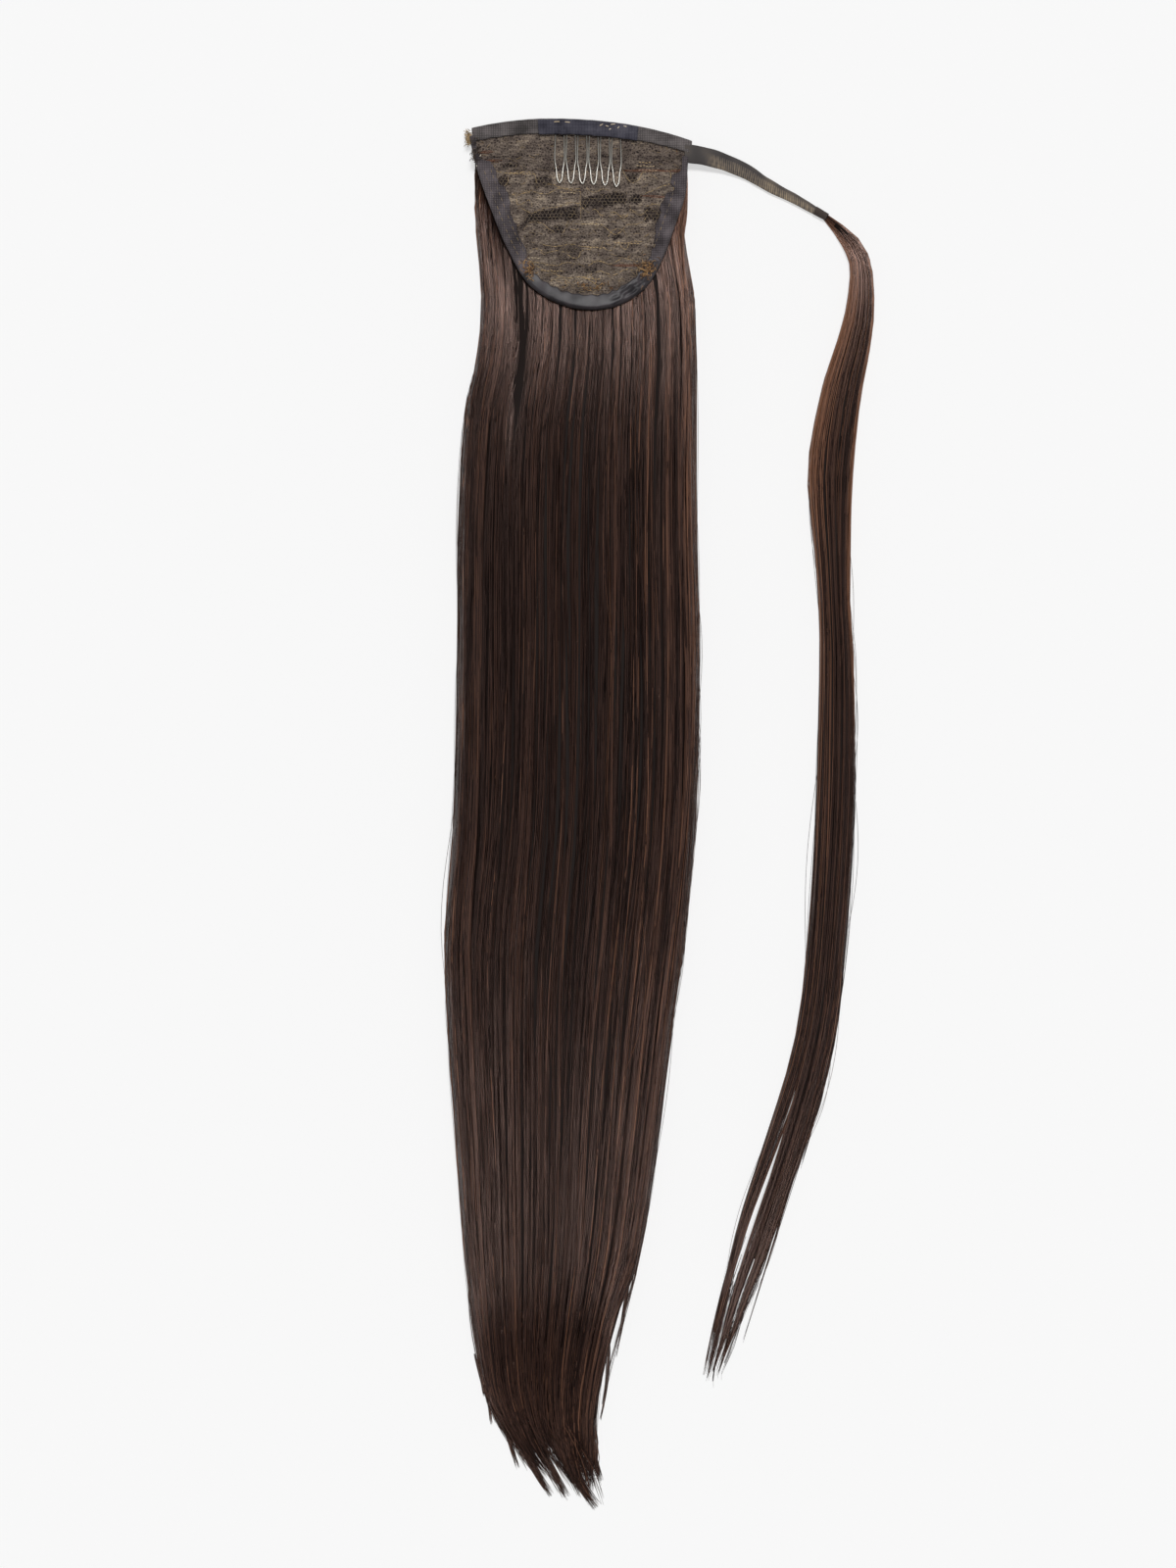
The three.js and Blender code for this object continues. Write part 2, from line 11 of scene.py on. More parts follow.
import bpy
import numpy as np
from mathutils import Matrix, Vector


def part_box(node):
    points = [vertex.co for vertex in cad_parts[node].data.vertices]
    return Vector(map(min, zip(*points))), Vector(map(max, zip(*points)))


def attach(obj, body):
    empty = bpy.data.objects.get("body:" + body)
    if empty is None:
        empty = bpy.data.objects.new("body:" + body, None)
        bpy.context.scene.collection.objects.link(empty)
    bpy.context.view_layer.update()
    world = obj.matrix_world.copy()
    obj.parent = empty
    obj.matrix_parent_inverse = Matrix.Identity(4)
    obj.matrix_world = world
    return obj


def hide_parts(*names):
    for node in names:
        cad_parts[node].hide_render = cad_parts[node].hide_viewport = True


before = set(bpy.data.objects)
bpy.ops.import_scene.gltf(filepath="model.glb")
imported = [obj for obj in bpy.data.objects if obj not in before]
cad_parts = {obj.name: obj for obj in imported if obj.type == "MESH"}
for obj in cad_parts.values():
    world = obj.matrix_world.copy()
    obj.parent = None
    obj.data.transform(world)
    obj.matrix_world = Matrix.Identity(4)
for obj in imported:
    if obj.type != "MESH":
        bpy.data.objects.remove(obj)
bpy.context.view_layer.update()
print("solids:", sorted(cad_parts))

# %% [markdown]
# The base's solid gives the place that all lengths are counted from.

# %% From the drawing's millimetres to the frame
MM = 0.001
PANEL_WIDTH = 88.0
PANEL_LENGTH = 77.2
panel_low, panel_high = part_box("lace_panel")
MIDDLE_X = panel_low.x / MM + 0.505 * PANEL_WIDTH
TOP_Y = panel_high.y / MM


def place(points):
    """Millimetres from the middle of the base's top edge to metres in the frame."""
    moved = np.array(points, dtype=float)
    moved[..., 0] += MIDDLE_X
    moved[..., 1] += TOP_Y
    return moved * MM


print("middle of the base's top edge, mm:", round(MIDDLE_X, 2), round(TOP_Y, 2))

# %% [markdown]
# The camera looks straight down, as the photograph does. Its lens and its height are chosen
# together, so that the long side of the picture covers 640 mm of the table.

# %% The camera
LENS = 85.0
LONG_SIDE = 640.0
VIEW_CENTRE = (3.2, -271.2, 9.0)
SENSOR = 36.0

camera_data = bpy.data.cameras.new("camera")
camera_data.lens = LENS
camera_data.sensor_width = SENSOR
camera = bpy.data.objects.new("camera", camera_data)
bpy.context.scene.collection.objects.link(camera)
centre = place(VIEW_CENTRE)
camera.location = (centre[0], centre[1], centre[2] + LONG_SIDE * MM * LENS / SENSOR)
bpy.context.scene.camera = camera
print("camera height, m:", round(camera.location.z, 3))

# %% [markdown]
# A few small tools come first. Colours are picked as sRGB hex values, the way a screen shows
# them, and Blender mixes light in linear values. Node trees are built by one function that
# makes a node, fills its sockets and links it. Threads and cords share one more function,
# since their colour follows a tone that each point of their mesh carries.


# %% Colours and nodes
def linear(colour):
    """An sRGB hex colour as linear red, green, blue and alpha."""
    parts = [int(colour[i : i + 2], 16) / 255 for i in (1, 3, 5)]
    return [*(c / 12.92 if c <= 0.04045 else ((c + 0.055) / 1.055) ** 2.4 for c in parts), 1.0]


def add_node(tree, kind, settings=None, values=None, links=None, stops=()):
    """Adds a node with its settings, its sockets' values and links, and a colour ramp's stops."""
    node = tree.nodes.new(kind)
    for key, value in (settings or {}).items():
        setattr(node, key, value)
    for key, value in (values or {}).items():
        node.inputs[key].default_value = value
    for key, source in (links or {}).items():
        tree.links.new(source, node.inputs[key])
    if stops:
        elements = node.color_ramp.elements
        while len(elements) < len(stops):
            elements.new(0.5)
        for element, (position, colour) in zip(elements, stops):
            element.position = position
            element.color = linear(colour)
    return node


def new_material(name, **values):
    """A material with a Principled shader, whose plain values are set by name."""
    material = bpy.data.materials.new(name)
    material.use_nodes = True
    shader = material.node_tree.nodes["Principled BSDF"]
    for key, value in values.items():
        shader.inputs[key.replace("_", " ")].default_value = value
    return material, material.node_tree, shader


def toned_material(name, stops, **values):
    """A material whose colour follows each point's tone along a ramp of stops."""
    material, tree, shader = new_material(name, **values)
    tone = add_node(tree, "ShaderNodeAttribute", {"attribute_name": "tone"})
    dyed = add_node(tree, "ShaderNodeValToRGB", links={"Fac": tone.outputs["Fac"]}, stops=stops)
    tree.links.new(dyed.outputs["Color"], shader.inputs["Base Color"])
    return material


# %% [markdown]
# Most pieces here are sheets or bundles of tubes with thousands of points, so their meshes
# are worked out as arrays and handed to Blender whole, which is far quicker than adding
# faces one at a time. Each point can carry a number, its tone, which the materials read.


# %% Meshes from arrays
def build_mesh(name, points, face_sets, material, tone=None):
    """A piece from points in metres and index arrays, one for each number of corners."""
    points = np.asarray(points, dtype=np.float32).reshape(-1, 3)
    corners = np.concatenate([faces.ravel() for faces in face_sets]).astype(np.int32)
    totals = np.concatenate([np.full(len(faces), faces.shape[1]) for faces in face_sets])
    starts = np.concatenate([[0], np.cumsum(totals)[:-1]]).astype(np.int32)
    mesh = bpy.data.meshes.new(name)
    mesh.vertices.add(len(points))
    mesh.vertices.foreach_set("co", points.ravel())
    mesh.loops.add(len(corners))
    mesh.loops.foreach_set("vertex_index", corners)
    mesh.polygons.add(len(totals))
    mesh.polygons.foreach_set("loop_start", starts)
    mesh.polygons.foreach_set("use_smooth", np.ones(len(totals), dtype=bool))
    if tone is not None:
        shade = mesh.attributes.new("tone", "FLOAT", "POINT")
        shade.data.foreach_set("value", np.asarray(tone, dtype=np.float32).ravel())
    mesh.update(calc_edges=True)
    mesh.validate()
    mesh.materials.append(material)
    piece = bpy.data.objects.new(name, mesh)
    bpy.context.scene.collection.objects.link(piece)
    print(name, "triangles:", int((totals - 2).sum()))
    return piece


def unit(vectors):
    """The same directions, one long."""
    return vectors / np.maximum(np.linalg.norm(vectors, axis=-1, keepdims=True), 1e-12)


def tube_points(paths, radii, sides):
    """Rings round paths: paths is (tube, station, 3) and radii (tube, station)."""
    along = unit(np.gradient(paths, axis=1))
    across = unit(np.cross(along, [0.0, 0.0, 1.0]) + [1e-9, 0.0, 0.0])
    up = np.cross(across, along)
    angle = 2 * np.pi * (np.arange(sides) + 0.5) / sides - np.pi / 2
    spin = np.cos(angle)[:, None] * across[:, :, None] + np.sin(angle)[:, None] * up[:, :, None]
    return paths[:, :, None] + radii[:, :, None, None] * spin


def tube_faces(tubes, stations, sides):
    """Walls of four corners and closed ends for tubes whose rings follow each other."""
    ring = np.arange(sides)
    turned = (ring + 1) % sides
    base = (np.arange(tubes)[:, None] * stations + np.arange(stations - 1)) * sides
    low = base[..., None]
    walls = np.stack([low + ring, low + sides + ring, low + sides + turned, low + turned], -1)
    first = np.arange(tubes)[:, None] * stations * sides + ring
    last = first[:, ::-1] + (stations - 1) * sides
    return [walls.reshape(-1, 4), np.concatenate([first, last])]


def build_tubes(name, paths, radii, sides, material, tone=None):
    """Joined closed tubes, with one tone for each or one for each station."""
    tubes, stations, _ = paths.shape
    points = tube_points(paths, np.broadcast_to(radii, (tubes, stations)), sides)
    if tone is not None:
        tone = np.asarray(tone, dtype=float)
        tone = tone[:, None] if tone.ndim == 1 else tone
        tone = np.repeat(np.broadcast_to(tone, (tubes, stations))[..., None], sides, axis=2)
    return build_mesh(name, place(points), tube_faces(tubes, stations, sides), material, tone)


def build_slab(name, top, bottom, material, tone=None):
    """A closed sheet between two grids of points, (row, column, 3) each."""
    rows, columns, _ = top.shape
    grid = np.arange(rows * columns).reshape(rows, columns)
    a, b, c, d = grid[:-1, :-1], grid[:-1, 1:], grid[1:, 1:], grid[1:, :-1]
    upper = np.stack([a, d, c, b], -1).reshape(-1, 4)
    lower = np.stack([a, b, c, d], -1).reshape(-1, 4) + rows * columns
    rim = np.concatenate([grid[0, :-1], grid[:-1, -1], grid[-1, :0:-1], grid[:0:-1, 0]])
    following = np.roll(rim, -1)
    walls = np.stack([rim, following, following + rows * columns, rim + rows * columns], -1)
    if tone is not None:
        tone = np.concatenate([np.ravel(tone), np.ravel(tone)])
    points = np.concatenate([top.reshape(-1, 3), bottom.reshape(-1, 3)])
    return build_mesh(name, place(points), [upper, lower, walls], material, tone)


# %% [markdown]
# Each piece then tells the frame which body it rides on and which imported node it stands for.
# All ride on the one body, since nothing here has a joint. The threads and caught hairs that lie
# on other pieces stand for no node.


# %% A piece's place in the frame
def fit(pieces, node=None):
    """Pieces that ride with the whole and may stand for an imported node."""
    for piece in pieces:
        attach(piece, "root")
        if node:
            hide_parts(node)


# %% [markdown]
# Forms come from short tables of chosen values, with a smooth curve through them. What is
# uneven comes from a few soft waves with a fixed seed, so every run gives the same piece.


# %% Smooth tables and soft noise
def read_table(table, column, at):
    """A smooth curve through the rows of a table, whose first column is the key."""
    key = np.asarray(next(iter(table.values())), dtype=float)
    value = np.asarray(table[column], dtype=float)
    last = len(key) - 1
    before = np.maximum(np.arange(last + 1) - 1, 0)
    after = np.minimum(np.arange(last + 1) + 1, last)
    slope = (value[after] - value[before]) / (key[after] - key[before])
    i = np.clip(np.searchsorted(key, at, side="right") - 1, 0, last - 1)
    span = key[i + 1] - key[i]
    t = np.clip((at - key[i]) / span, 0, 1)
    return (
        (2 * t**3 - 3 * t**2 + 1) * value[i]
        + (t**3 - 2 * t**2 + t) * span * slope[i]
        + (3 * t**2 - 2 * t**3) * value[i + 1]
        + (t**3 - t**2) * span * slope[i + 1]
    )


def ripple(x, y, wavelength, seed, waves=7):
    """Soft noise from -1 to 1: a few plane waves of about one wavelength, in millimetres."""
    pick = np.random.default_rng(seed)
    total = 0.0
    for _ in range(waves):
        heading = pick.uniform(0, 2 * np.pi)
        length = wavelength * pick.uniform(0.7, 1.5)
        phase = pick.uniform(0, 2 * np.pi)
        along = np.cos(heading) * x + np.sin(heading) * y
        total = total + np.sin(2 * np.pi * along / length + phase)
    return total / waves**0.5 / 1.6


def smooth_step(value, low, high):
    """0 below low, 1 above high, and a soft rise between them."""
    t = np.clip((value - low) / (high - low), 0, 1)
    return t * t * (3 - 2 * t)


def rounded(angle, power):
    """The cosine of an angle round a form whose section is squarer than a circle."""
    return np.sign(np.cos(angle)) * np.abs(np.cos(angle)) ** (2 / power)


# %% [markdown]
# The hair falls from the base in one body. A table gives its sides and its height at shares
# of its length, the same sections as the solid's.

# %% The fall's form
HAIR_LENGTH = 565.0
FALL_WIDTH = 98.4
FALL_HEIGHT = 19.0
DOME_POWER = 2.6
FALL = {
    "at": [0, 0.012, 0.034, 0.076, 0.126, 0.168, 0.2, 0.282, 0.395, 0.508, 0.593, 0.65]
    + [0.735, 0.82, 0.904, 0.933, 0.961, 0.982, 1],
    "left": [0.4, 0.4, 0.435, 0.43, 0.405, 0.415, 0.467, 0.5, 0.508, 0.524, 0.561, 0.549]
    + [0.516, 0.48, 0.419, 0.378, 0.289, 0.179, 0.073],
    "right": [0.41, 0.41, 0.425, 0.42, 0.47, 0.48, 0.48, 0.48, 0.492, 0.476, 0.43, 0.385]
    + [0.322, 0.25, 0.125, 0.095, 0.078, 0.07, 0.064],
    "crown": [0.02, 0.12, 0.31, 0.58, 0.79, 0.92, 0.98, 1, 1, 1, 0.98, 0.95]
    + [0.88, 0.76, 0.56, 0.46, 0.35, 0.24, 0.13],
}


def fall_span(at):
    """The fall's middle and half its width at a share of its length."""
    left = -read_table(FALL, "left", at) * FALL_WIDTH
    right = read_table(FALL, "right", at) * FALL_WIDTH
    return (left + right) / 2, (right - left) / 2


def crown(at):
    """The height of the fall's solid along its crown."""
    return read_table(FALL, "crown", at) * FALL_HEIGHT


def sunk_crown(at):
    """The height of the hairs along the crown, which sinks faster near the loose tips."""
    sink = 1 - 0.58 * smooth_step(at, 0.86, 0.97)
    return sink * crown(at)


def dome(t):
    """The height across the fall as a share of its crown, from -1 to 1."""
    return (1 - np.clip(np.abs(t), 0, 1) ** DOME_POWER) ** (1 / DOME_POWER)


print("fall's width at half length, mm:", np.round(2 * fall_span(np.array(0.5))[1], 1))

# %% [markdown]
# Human hair, coloured and steamed straight. It is smooth, so each hair has a sharp streak of
# light along it, and a bundle has a soft band across it. The light that passes into the hair
# and out again takes up its brown, so the gloss is tinted. The colour is a very dark brown
# with some hairs of a warmer red-brown. A hair is 0.07 mm thick, which no picture of the
# whole piece can show, so here one tube stands for a wisp of hairs, and fine streaks of 0.25
# mm in the material stand for the hairs in it.

# %% The hair's material
hair_material, tree, shader = new_material(
    "straight_human_hair", Roughness=0.22, IOR=1.55, Specular_IOR_Level=0.32
)
shader.inputs["Specular Tint"].default_value = linear("#ffd8ca")
tone = add_node(tree, "ShaderNodeAttribute", {"attribute_name": "tone"})
spot = add_node(tree, "ShaderNodeTexCoord")
stretch = add_node(
    tree,
    "ShaderNodeMapping",
    values={"Scale": (1 / 0.00025, 1 / 0.02, 1 / 0.0006)},
    links={"Vector": spot.outputs["Object"]},
)
streaks = add_node(
    tree,
    "ShaderNodeTexNoise",
    values={"Scale": 1.0, "Detail": 2.0},
    links={"Vector": stretch.outputs["Vector"]},
)
streaked = add_node(
    tree,
    "ShaderNodeMath",
    {"operation": "MULTIPLY_ADD"},
    {1: 0.24, 2: -0.12},
    {0: streaks.outputs["Fac"]},
)
mixed = add_node(
    tree,
    "ShaderNodeMath",
    {"operation": "ADD"},
    links={0: tone.outputs["Fac"], 1: streaked.outputs[0]},
)
HAIR_STOPS = [
    (0.0, "#0e0808"),
    (0.35, "#1e1412"),
    (0.6, "#33231e"),
    (0.8, "#543b30"),
    (1.0, "#805a45"),
]
brown = add_node(tree, "ShaderNodeValToRGB", links={"Fac": mixed.outputs[0]}, stops=HAIR_STOPS)
tree.links.new(brown.outputs["Color"], shader.inputs["Base Color"])

# Hair deep in the mass gets almost no light, so its plain dark colour is painted shade, and it needs
# neither streaks nor gloss.
under_material, tree, shader = new_material(
    "hair_in_shadow", Roughness=0.6, IOR=1.55, Specular_IOR_Level=0.1
)
shader.inputs["Base Color"].default_value = linear("#180f0c")
print("hair materials:", hair_material.name, under_material.name)

# %% [markdown]
# Under the single hairs lies a plain dark body. It closes the gaps between them, as the
# hundreds of layers below do on the real piece.


# %% The body under the hairs
def closed_rings(name, sections, material, tone=None):
    """A closed body through sections of equal count, (section, point, 3)."""
    count, ring, _ = sections.shape
    low = (np.arange(count - 1) * ring)[:, None]
    i = np.arange(ring)
    j = (i + 1) % ring
    walls = np.stack([low + i, low + j, low + ring + j, low + ring + i], -1).reshape(-1, 4)
    caps = np.concatenate([i[None, ::-1], i[None] + (count - 1) * ring])
    return build_mesh(name, place(sections), [walls, caps], material, tone)


INSET = 1.2
BODY_END = 0.915
body_at = np.linspace(0.02, BODY_END, 90)
body_t = rounded(np.linspace(0, np.pi, 48), DOME_POWER)
body_mid, body_half = fall_span(body_at)
thinning = smooth_step(body_at, 0.84, BODY_END)
body_half = (body_half - INSET) * (1 - 0.3 * thinning) - 2.5 * thinning
body_top = np.maximum(crown(body_at) - INSET, 0.5) * (1 - 0.7 * thinning)
flat_t = np.linspace(-0.96, 0.96, 12)
ring_t = np.concatenate([body_t, flat_t])
ring_top = np.maximum(body_top[:, None] * dome(body_t), 0.3)
ring_z = np.concatenate([ring_top, np.full((len(body_at), len(flat_t)), 0.1)], 1)
ring_x = body_mid[:, None] + body_half[:, None] * ring_t
ring_y = np.repeat(-body_at[:, None] * HAIR_LENGTH, len(ring_t), 1)
fall_body = closed_rings("fall_body", np.stack([ring_x, ring_y, ring_z], -1), under_material)
fit([fall_body], "hair_fall")

# %% [markdown]
# Brushed hair falls in wisps one or two millimetres wide: the hairs of a wisp lie together,
# share a shade and weave over their neighbours together. Near the ends the wisps join in
# some twenty locks, each cut at its own length and frayed at its tip. So each hair's path is
# worked out in three steps: its lock, its wisp in the lock, and itself in the wisp.

# %% Wisps and locks of the fall
pick = np.random.default_rng(5)
WISPS = 170
wisp_angle = np.sort(pick.uniform(0, np.pi, WISPS))
wisp_t = rounded(wisp_angle, DOME_POWER)
wisp_tone = pick.normal(0, 0.11, WISPS)
wisp_lift = pick.normal(0, 0.3, WISPS)
wisp_swing = pick.normal(0, 1, (WISPS, 2)) * [0.015, 0.009]
wisp_phase = pick.uniform(0, 2 * np.pi, (WISPS, 2))
wisp_length = pick.uniform(0.7, 1.4, (WISPS, 2)) * [1.2, 2.8]

END_LOCKS = 23
lock_edges = np.linspace(-1, 1, END_LOCKS + 1) + np.append(pick.uniform(-0.03, 0.03, END_LOCKS), 0)
lock_edges[0] = -1
lock_t = (lock_edges[1:] + lock_edges[:-1]) / 2
HAIR_ENDS = {
    "across": [0, 0.2, 0.45, 0.52, 0.76, 0.82, 0.88, 0.97, 1],
    "tip": [0.958, 0.972, 0.968, 0.988, 0.986, 0.966, 0.986, 0.98, 0.958],
}
lock_end = np.interp((lock_t + 1) / 2, HAIR_ENDS["across"], HAIR_ENDS["tip"])
lock_end = lock_end - pick.exponential(0.004, END_LOCKS).clip(0, 0.012)
lock_taper = pick.uniform(16, 40, END_LOCKS)
lock_of_wisp = np.clip(np.searchsorted(lock_edges, wisp_t) - 1, 0, END_LOCKS - 1)
print("locks end at shares", np.round(lock_end.min(), 3), "to", np.round(lock_end.max(), 3))

# %% [markdown]
# Near the tips the one body under the hairs gives way to a core for each lock, so that light
# passes between the locks and never through one. The outermost hairs on the right are drawn
# in a little there, since thin wisps stand apart from them.


# %% Cores of the end locks
def drawn_in(t, at):
    """Shares across, drawn in on the right, where thin wisps stand apart from the mass."""
    where = smooth_step(at, 0.825, 0.865) * (1 - smooth_step(at, 0.95, 0.97))
    return t - 0.11 * where * np.clip(t, 0, 1) ** 4


CORE_START = 0.86
CORE_STATIONS = 16
CORE_SIDES = 8


def lock_core(k):
    """The rings of a dark body inside an end lock, as deep as the lock's hairs."""
    end = min(lock_end[k], 0.995) - 0.036
    at = CORE_START + (end - CORE_START) * np.linspace(0, 1, CORE_STATIONS)
    turn = np.linspace(0, 2 * np.pi, CORE_SIDES, endpoint=False)
    middle, half = fall_span(at)
    left_over = (lock_end[k] - at) * HAIR_LENGTH
    close = 0.3 + 0.7 * np.clip(left_over / lock_taper[k], 0, 1) ** 0.7
    reach = (lock_edges[k + 1] - lock_edges[k]) / 2 * half * close * 0.9
    x = middle + half * drawn_in(lock_t[k] * 0.97, at)
    tall = np.maximum(sunk_crown(at) * dome(lock_t[k]) * 0.8 - 1.0, 0.5) * close**0.5
    ring_x = x[:, None] + np.cos(turn) * reach[:, None]
    ring_y = np.repeat(-at[:, None] * HAIR_LENGTH, CORE_SIDES, 1)
    ring_z = 0.1 + tall[:, None] * (0.5 + 0.5 * np.sin(turn))
    return np.stack([ring_x, ring_y, ring_z], -1)


core_points = np.array([lock_core(k) for k in range(END_LOCKS)])
core_noise = ripple(core_points[..., 0], core_points[..., 1] * 0.03, 2.0, 19)
# The cores are toned darker than the hairs round them: painted shade for the inside of each lock.
core_tones = np.clip(0.36 + 0.12 * core_noise, 0, 1)
core_faces = tube_faces(END_LOCKS, CORE_STATIONS, CORE_SIDES)
cores = build_mesh("fall_lock_cores", place(core_points), core_faces, hair_material, core_tones)
fit([cores], "hair_fall")


# %% Hairs of the fall
def hair_piece(name, node, *parts):
    """One piece of hair from sets of paths, radii and tones, whose shapes fit the radii."""
    paths = np.concatenate([paths for paths, _, _ in parts])
    radii = np.concatenate([radii for _, radii, _ in parts])
    tones = np.concatenate([np.broadcast_to(tones, radii.shape) for _, radii, tones in parts])
    fit([build_tubes(name, paths, radii, 3, hair_material, tones)], node)


PARTING_AT = [0.07, 0.08, 0.116, 0.147, 0.2, 0.3]
PARTING_T = [-0.8, -0.75, -0.655, -0.615, -0.56, -0.5]


def parting(t, at):
    """Depth of the two partings that run down from beside the base's foot, whose hairs are also toned
    darker as painted shade.
    """
    left = np.exp(-(((t - np.interp(at, PARTING_AT, PARTING_T)) / 0.06) ** 2))
    right = np.exp(-(((t - 0.71 + (at - 0.1) * 0.2) / 0.035) ** 2))
    return 2.4 * left * smooth_step(-at, -0.27, -0.17) + 0.9 * right * smooth_step(-at, -0.4, -0.2)


def fall_tone(t, at):
    """How much lighter the hair is at a place: beside the base, along its edges and near the tips. At the
    right edge and the tips this is painted light.
    """
    beside = 0.04 * smooth_step(-at, -0.2, -0.1)
    # Painted light along the right edge, where thin hair lets light through.
    right_edge = smooth_step(t, 0.8, 0.97) * (0.03 + 0.17 * smooth_step(-at, -0.62, -0.2))
    left_edge = 0.1 * smooth_step(-t, 0.9, 0.99)
    # Near the tips the tone is raised as painted light, against the shade they lie in.
    return beside + right_edge + left_edge + 0.06 * smooth_step(at, 0.86, 0.95)


def fall_hairs(low_angle, high_angle, count, seed):
    """Paths, radii and tones of hairs between two angles round the dome."""
    pick = np.random.default_rng(seed)
    angle = pick.uniform(low_angle, high_angle, count)
    wisp = np.abs(angle[:, None] - wisp_angle).argmin(1)
    angle = angle + 0.3 * (wisp_angle[wisp] - angle)
    t0 = rounded(angle, DOME_POWER)
    depth = pick.exponential(0.5, count).clip(0, 3.5)
    lock = lock_of_wisp[wisp]
    # Most tips are near their lock's end, some pass it, and one hair in ten is shorter.
    tip = lock_end[lock] - pick.exponential(0.008, count).clip(0, 0.1)
    tip = tip + 0.01 * (pick.random(count) < 0.15) * pick.random(count)
    short = pick.random(count) < 0.1
    tip = np.minimum(np.where(short, tip - pick.uniform(0, 0.2, count), tip), 1.004)
    outermost = np.interp((t0 + 1) / 2, HAIR_ENDS["across"], HAIR_ENDS["tip"]) - 0.008
    tip = np.where(np.abs(t0) > 0.93, np.minimum(tip, outermost), tip)
    root = pick.uniform(0.014, 0.05, count)
    share = np.linspace(0, 1, 26)
    share = 0.55 * share + 0.45 * np.sin(share * np.pi / 2)
    at = root[:, None] + (tip - root)[:, None] * share
    middle, half = fall_span(at)
    # The wisp sways as one, and each hair weaves a little on its own.
    sway = 0.0
    for k in (0, 1):
        turns = 2 * np.pi * wisp_length[wisp, k, None] * at + wisp_phase[wisp, k, None]
        sway = sway + wisp_swing[wisp, k, None] * np.sin(turns)
    own = 0.0
    for swings, size in ((1.6, 0.007), (3.4, 0.004), (7.0, 0.0015)):
        phase = pick.uniform(0, 2 * np.pi, (count, 1))
        length = swings * pick.uniform(0.7, 1.3, (count, 1))
        own = own + pick.normal(0, size, (count, 1)) * np.sin(2 * np.pi * length * at + phase)
    # Towards the tip the lock and the wisp close on their own middles.
    left_over = (lock_end[lock, None] - at) * HAIR_LENGTH
    lock_close = 0.3 + 0.7 * np.clip(left_over / lock_taper[lock, None], 0, 1) ** 0.6
    wisp_close = 0.4 + 0.6 * np.clip(left_over / 20, 0, 1) ** 0.5
    t = lock_t[lock, None] + (wisp_t[wisp] - lock_t[lock])[:, None] * lock_close
    t = t + (t0 - wisp_t[wisp])[:, None] * wisp_close + sway * lock_close + own
    t = drawn_in(np.clip(t, -1.012, 1.012), at)
    t = t * (1 - 0.04 * smooth_step(at, 0.9, 0.96))
    x = middle + half * t - np.sign(t) * depth[:, None] * np.abs(t) ** 3
    # Heights: the dome, less the hair's depth and the partings, with a roll of each wisp.
    calm = 1 - 0.6 * smooth_step(at, 0.85, 0.97)
    roll = 0.28 * np.sin(6 * np.pi * wisp_length[wisp, 1, None] * at + wisp_phase[wisp, 0, None])
    z = sunk_crown(at) * dome(t) - depth[:, None] - parting(t, at)
    z = z + (wisp_lift[wisp, None] + roll) * calm
    own_left = (tip[:, None] - at) * HAIR_LENGTH
    radius = pick.uniform(0.15, 0.25, (count, 1)) * np.clip(own_left / 12, 0.16, 1) ** 0.7
    radius = radius * np.clip((at - root[:, None]) * 300, 0.3, 1)
    z = np.maximum(z, radius + 0.05 + 0.5 * pick.random((count, 1)))
    # Deeper hairs are toned darker, as painted shade, and one hair in ten is of the warmer, lighter brown.
    colour = 0.455 + wisp_tone[wisp] + pick.normal(0, 0.11, count) - 0.05 * depth
    warm = pick.random(count) < 0.1
    colour = np.where(warm, colour + pick.uniform(0.15, 0.35, count), colour)
    # In the partings the tone is darkened: painted shade.
    colour = colour[:, None] + fall_tone(t, at) - 0.16 * parting(t, at)
    return np.stack([x, -at * HAIR_LENGTH, z], -1), radius, np.clip(colour, 0, 1)


hair_piece("fall_hairs_right", "hair_fall", fall_hairs(0.0, 0.9, 800, 11))
hair_piece("fall_hairs_middle", "hair_fall", fall_hairs(0.9, 2.24, 1020, 12))
hair_piece("fall_hairs_left", "hair_fall", fall_hairs(2.24, math.pi, 800, 13))

# %% [markdown]
# The ends were cut with thinning scissors, so the hairs stop at many lengths and the last
# centimetres are a brush of loose ends. These short hairs start well above the tips.


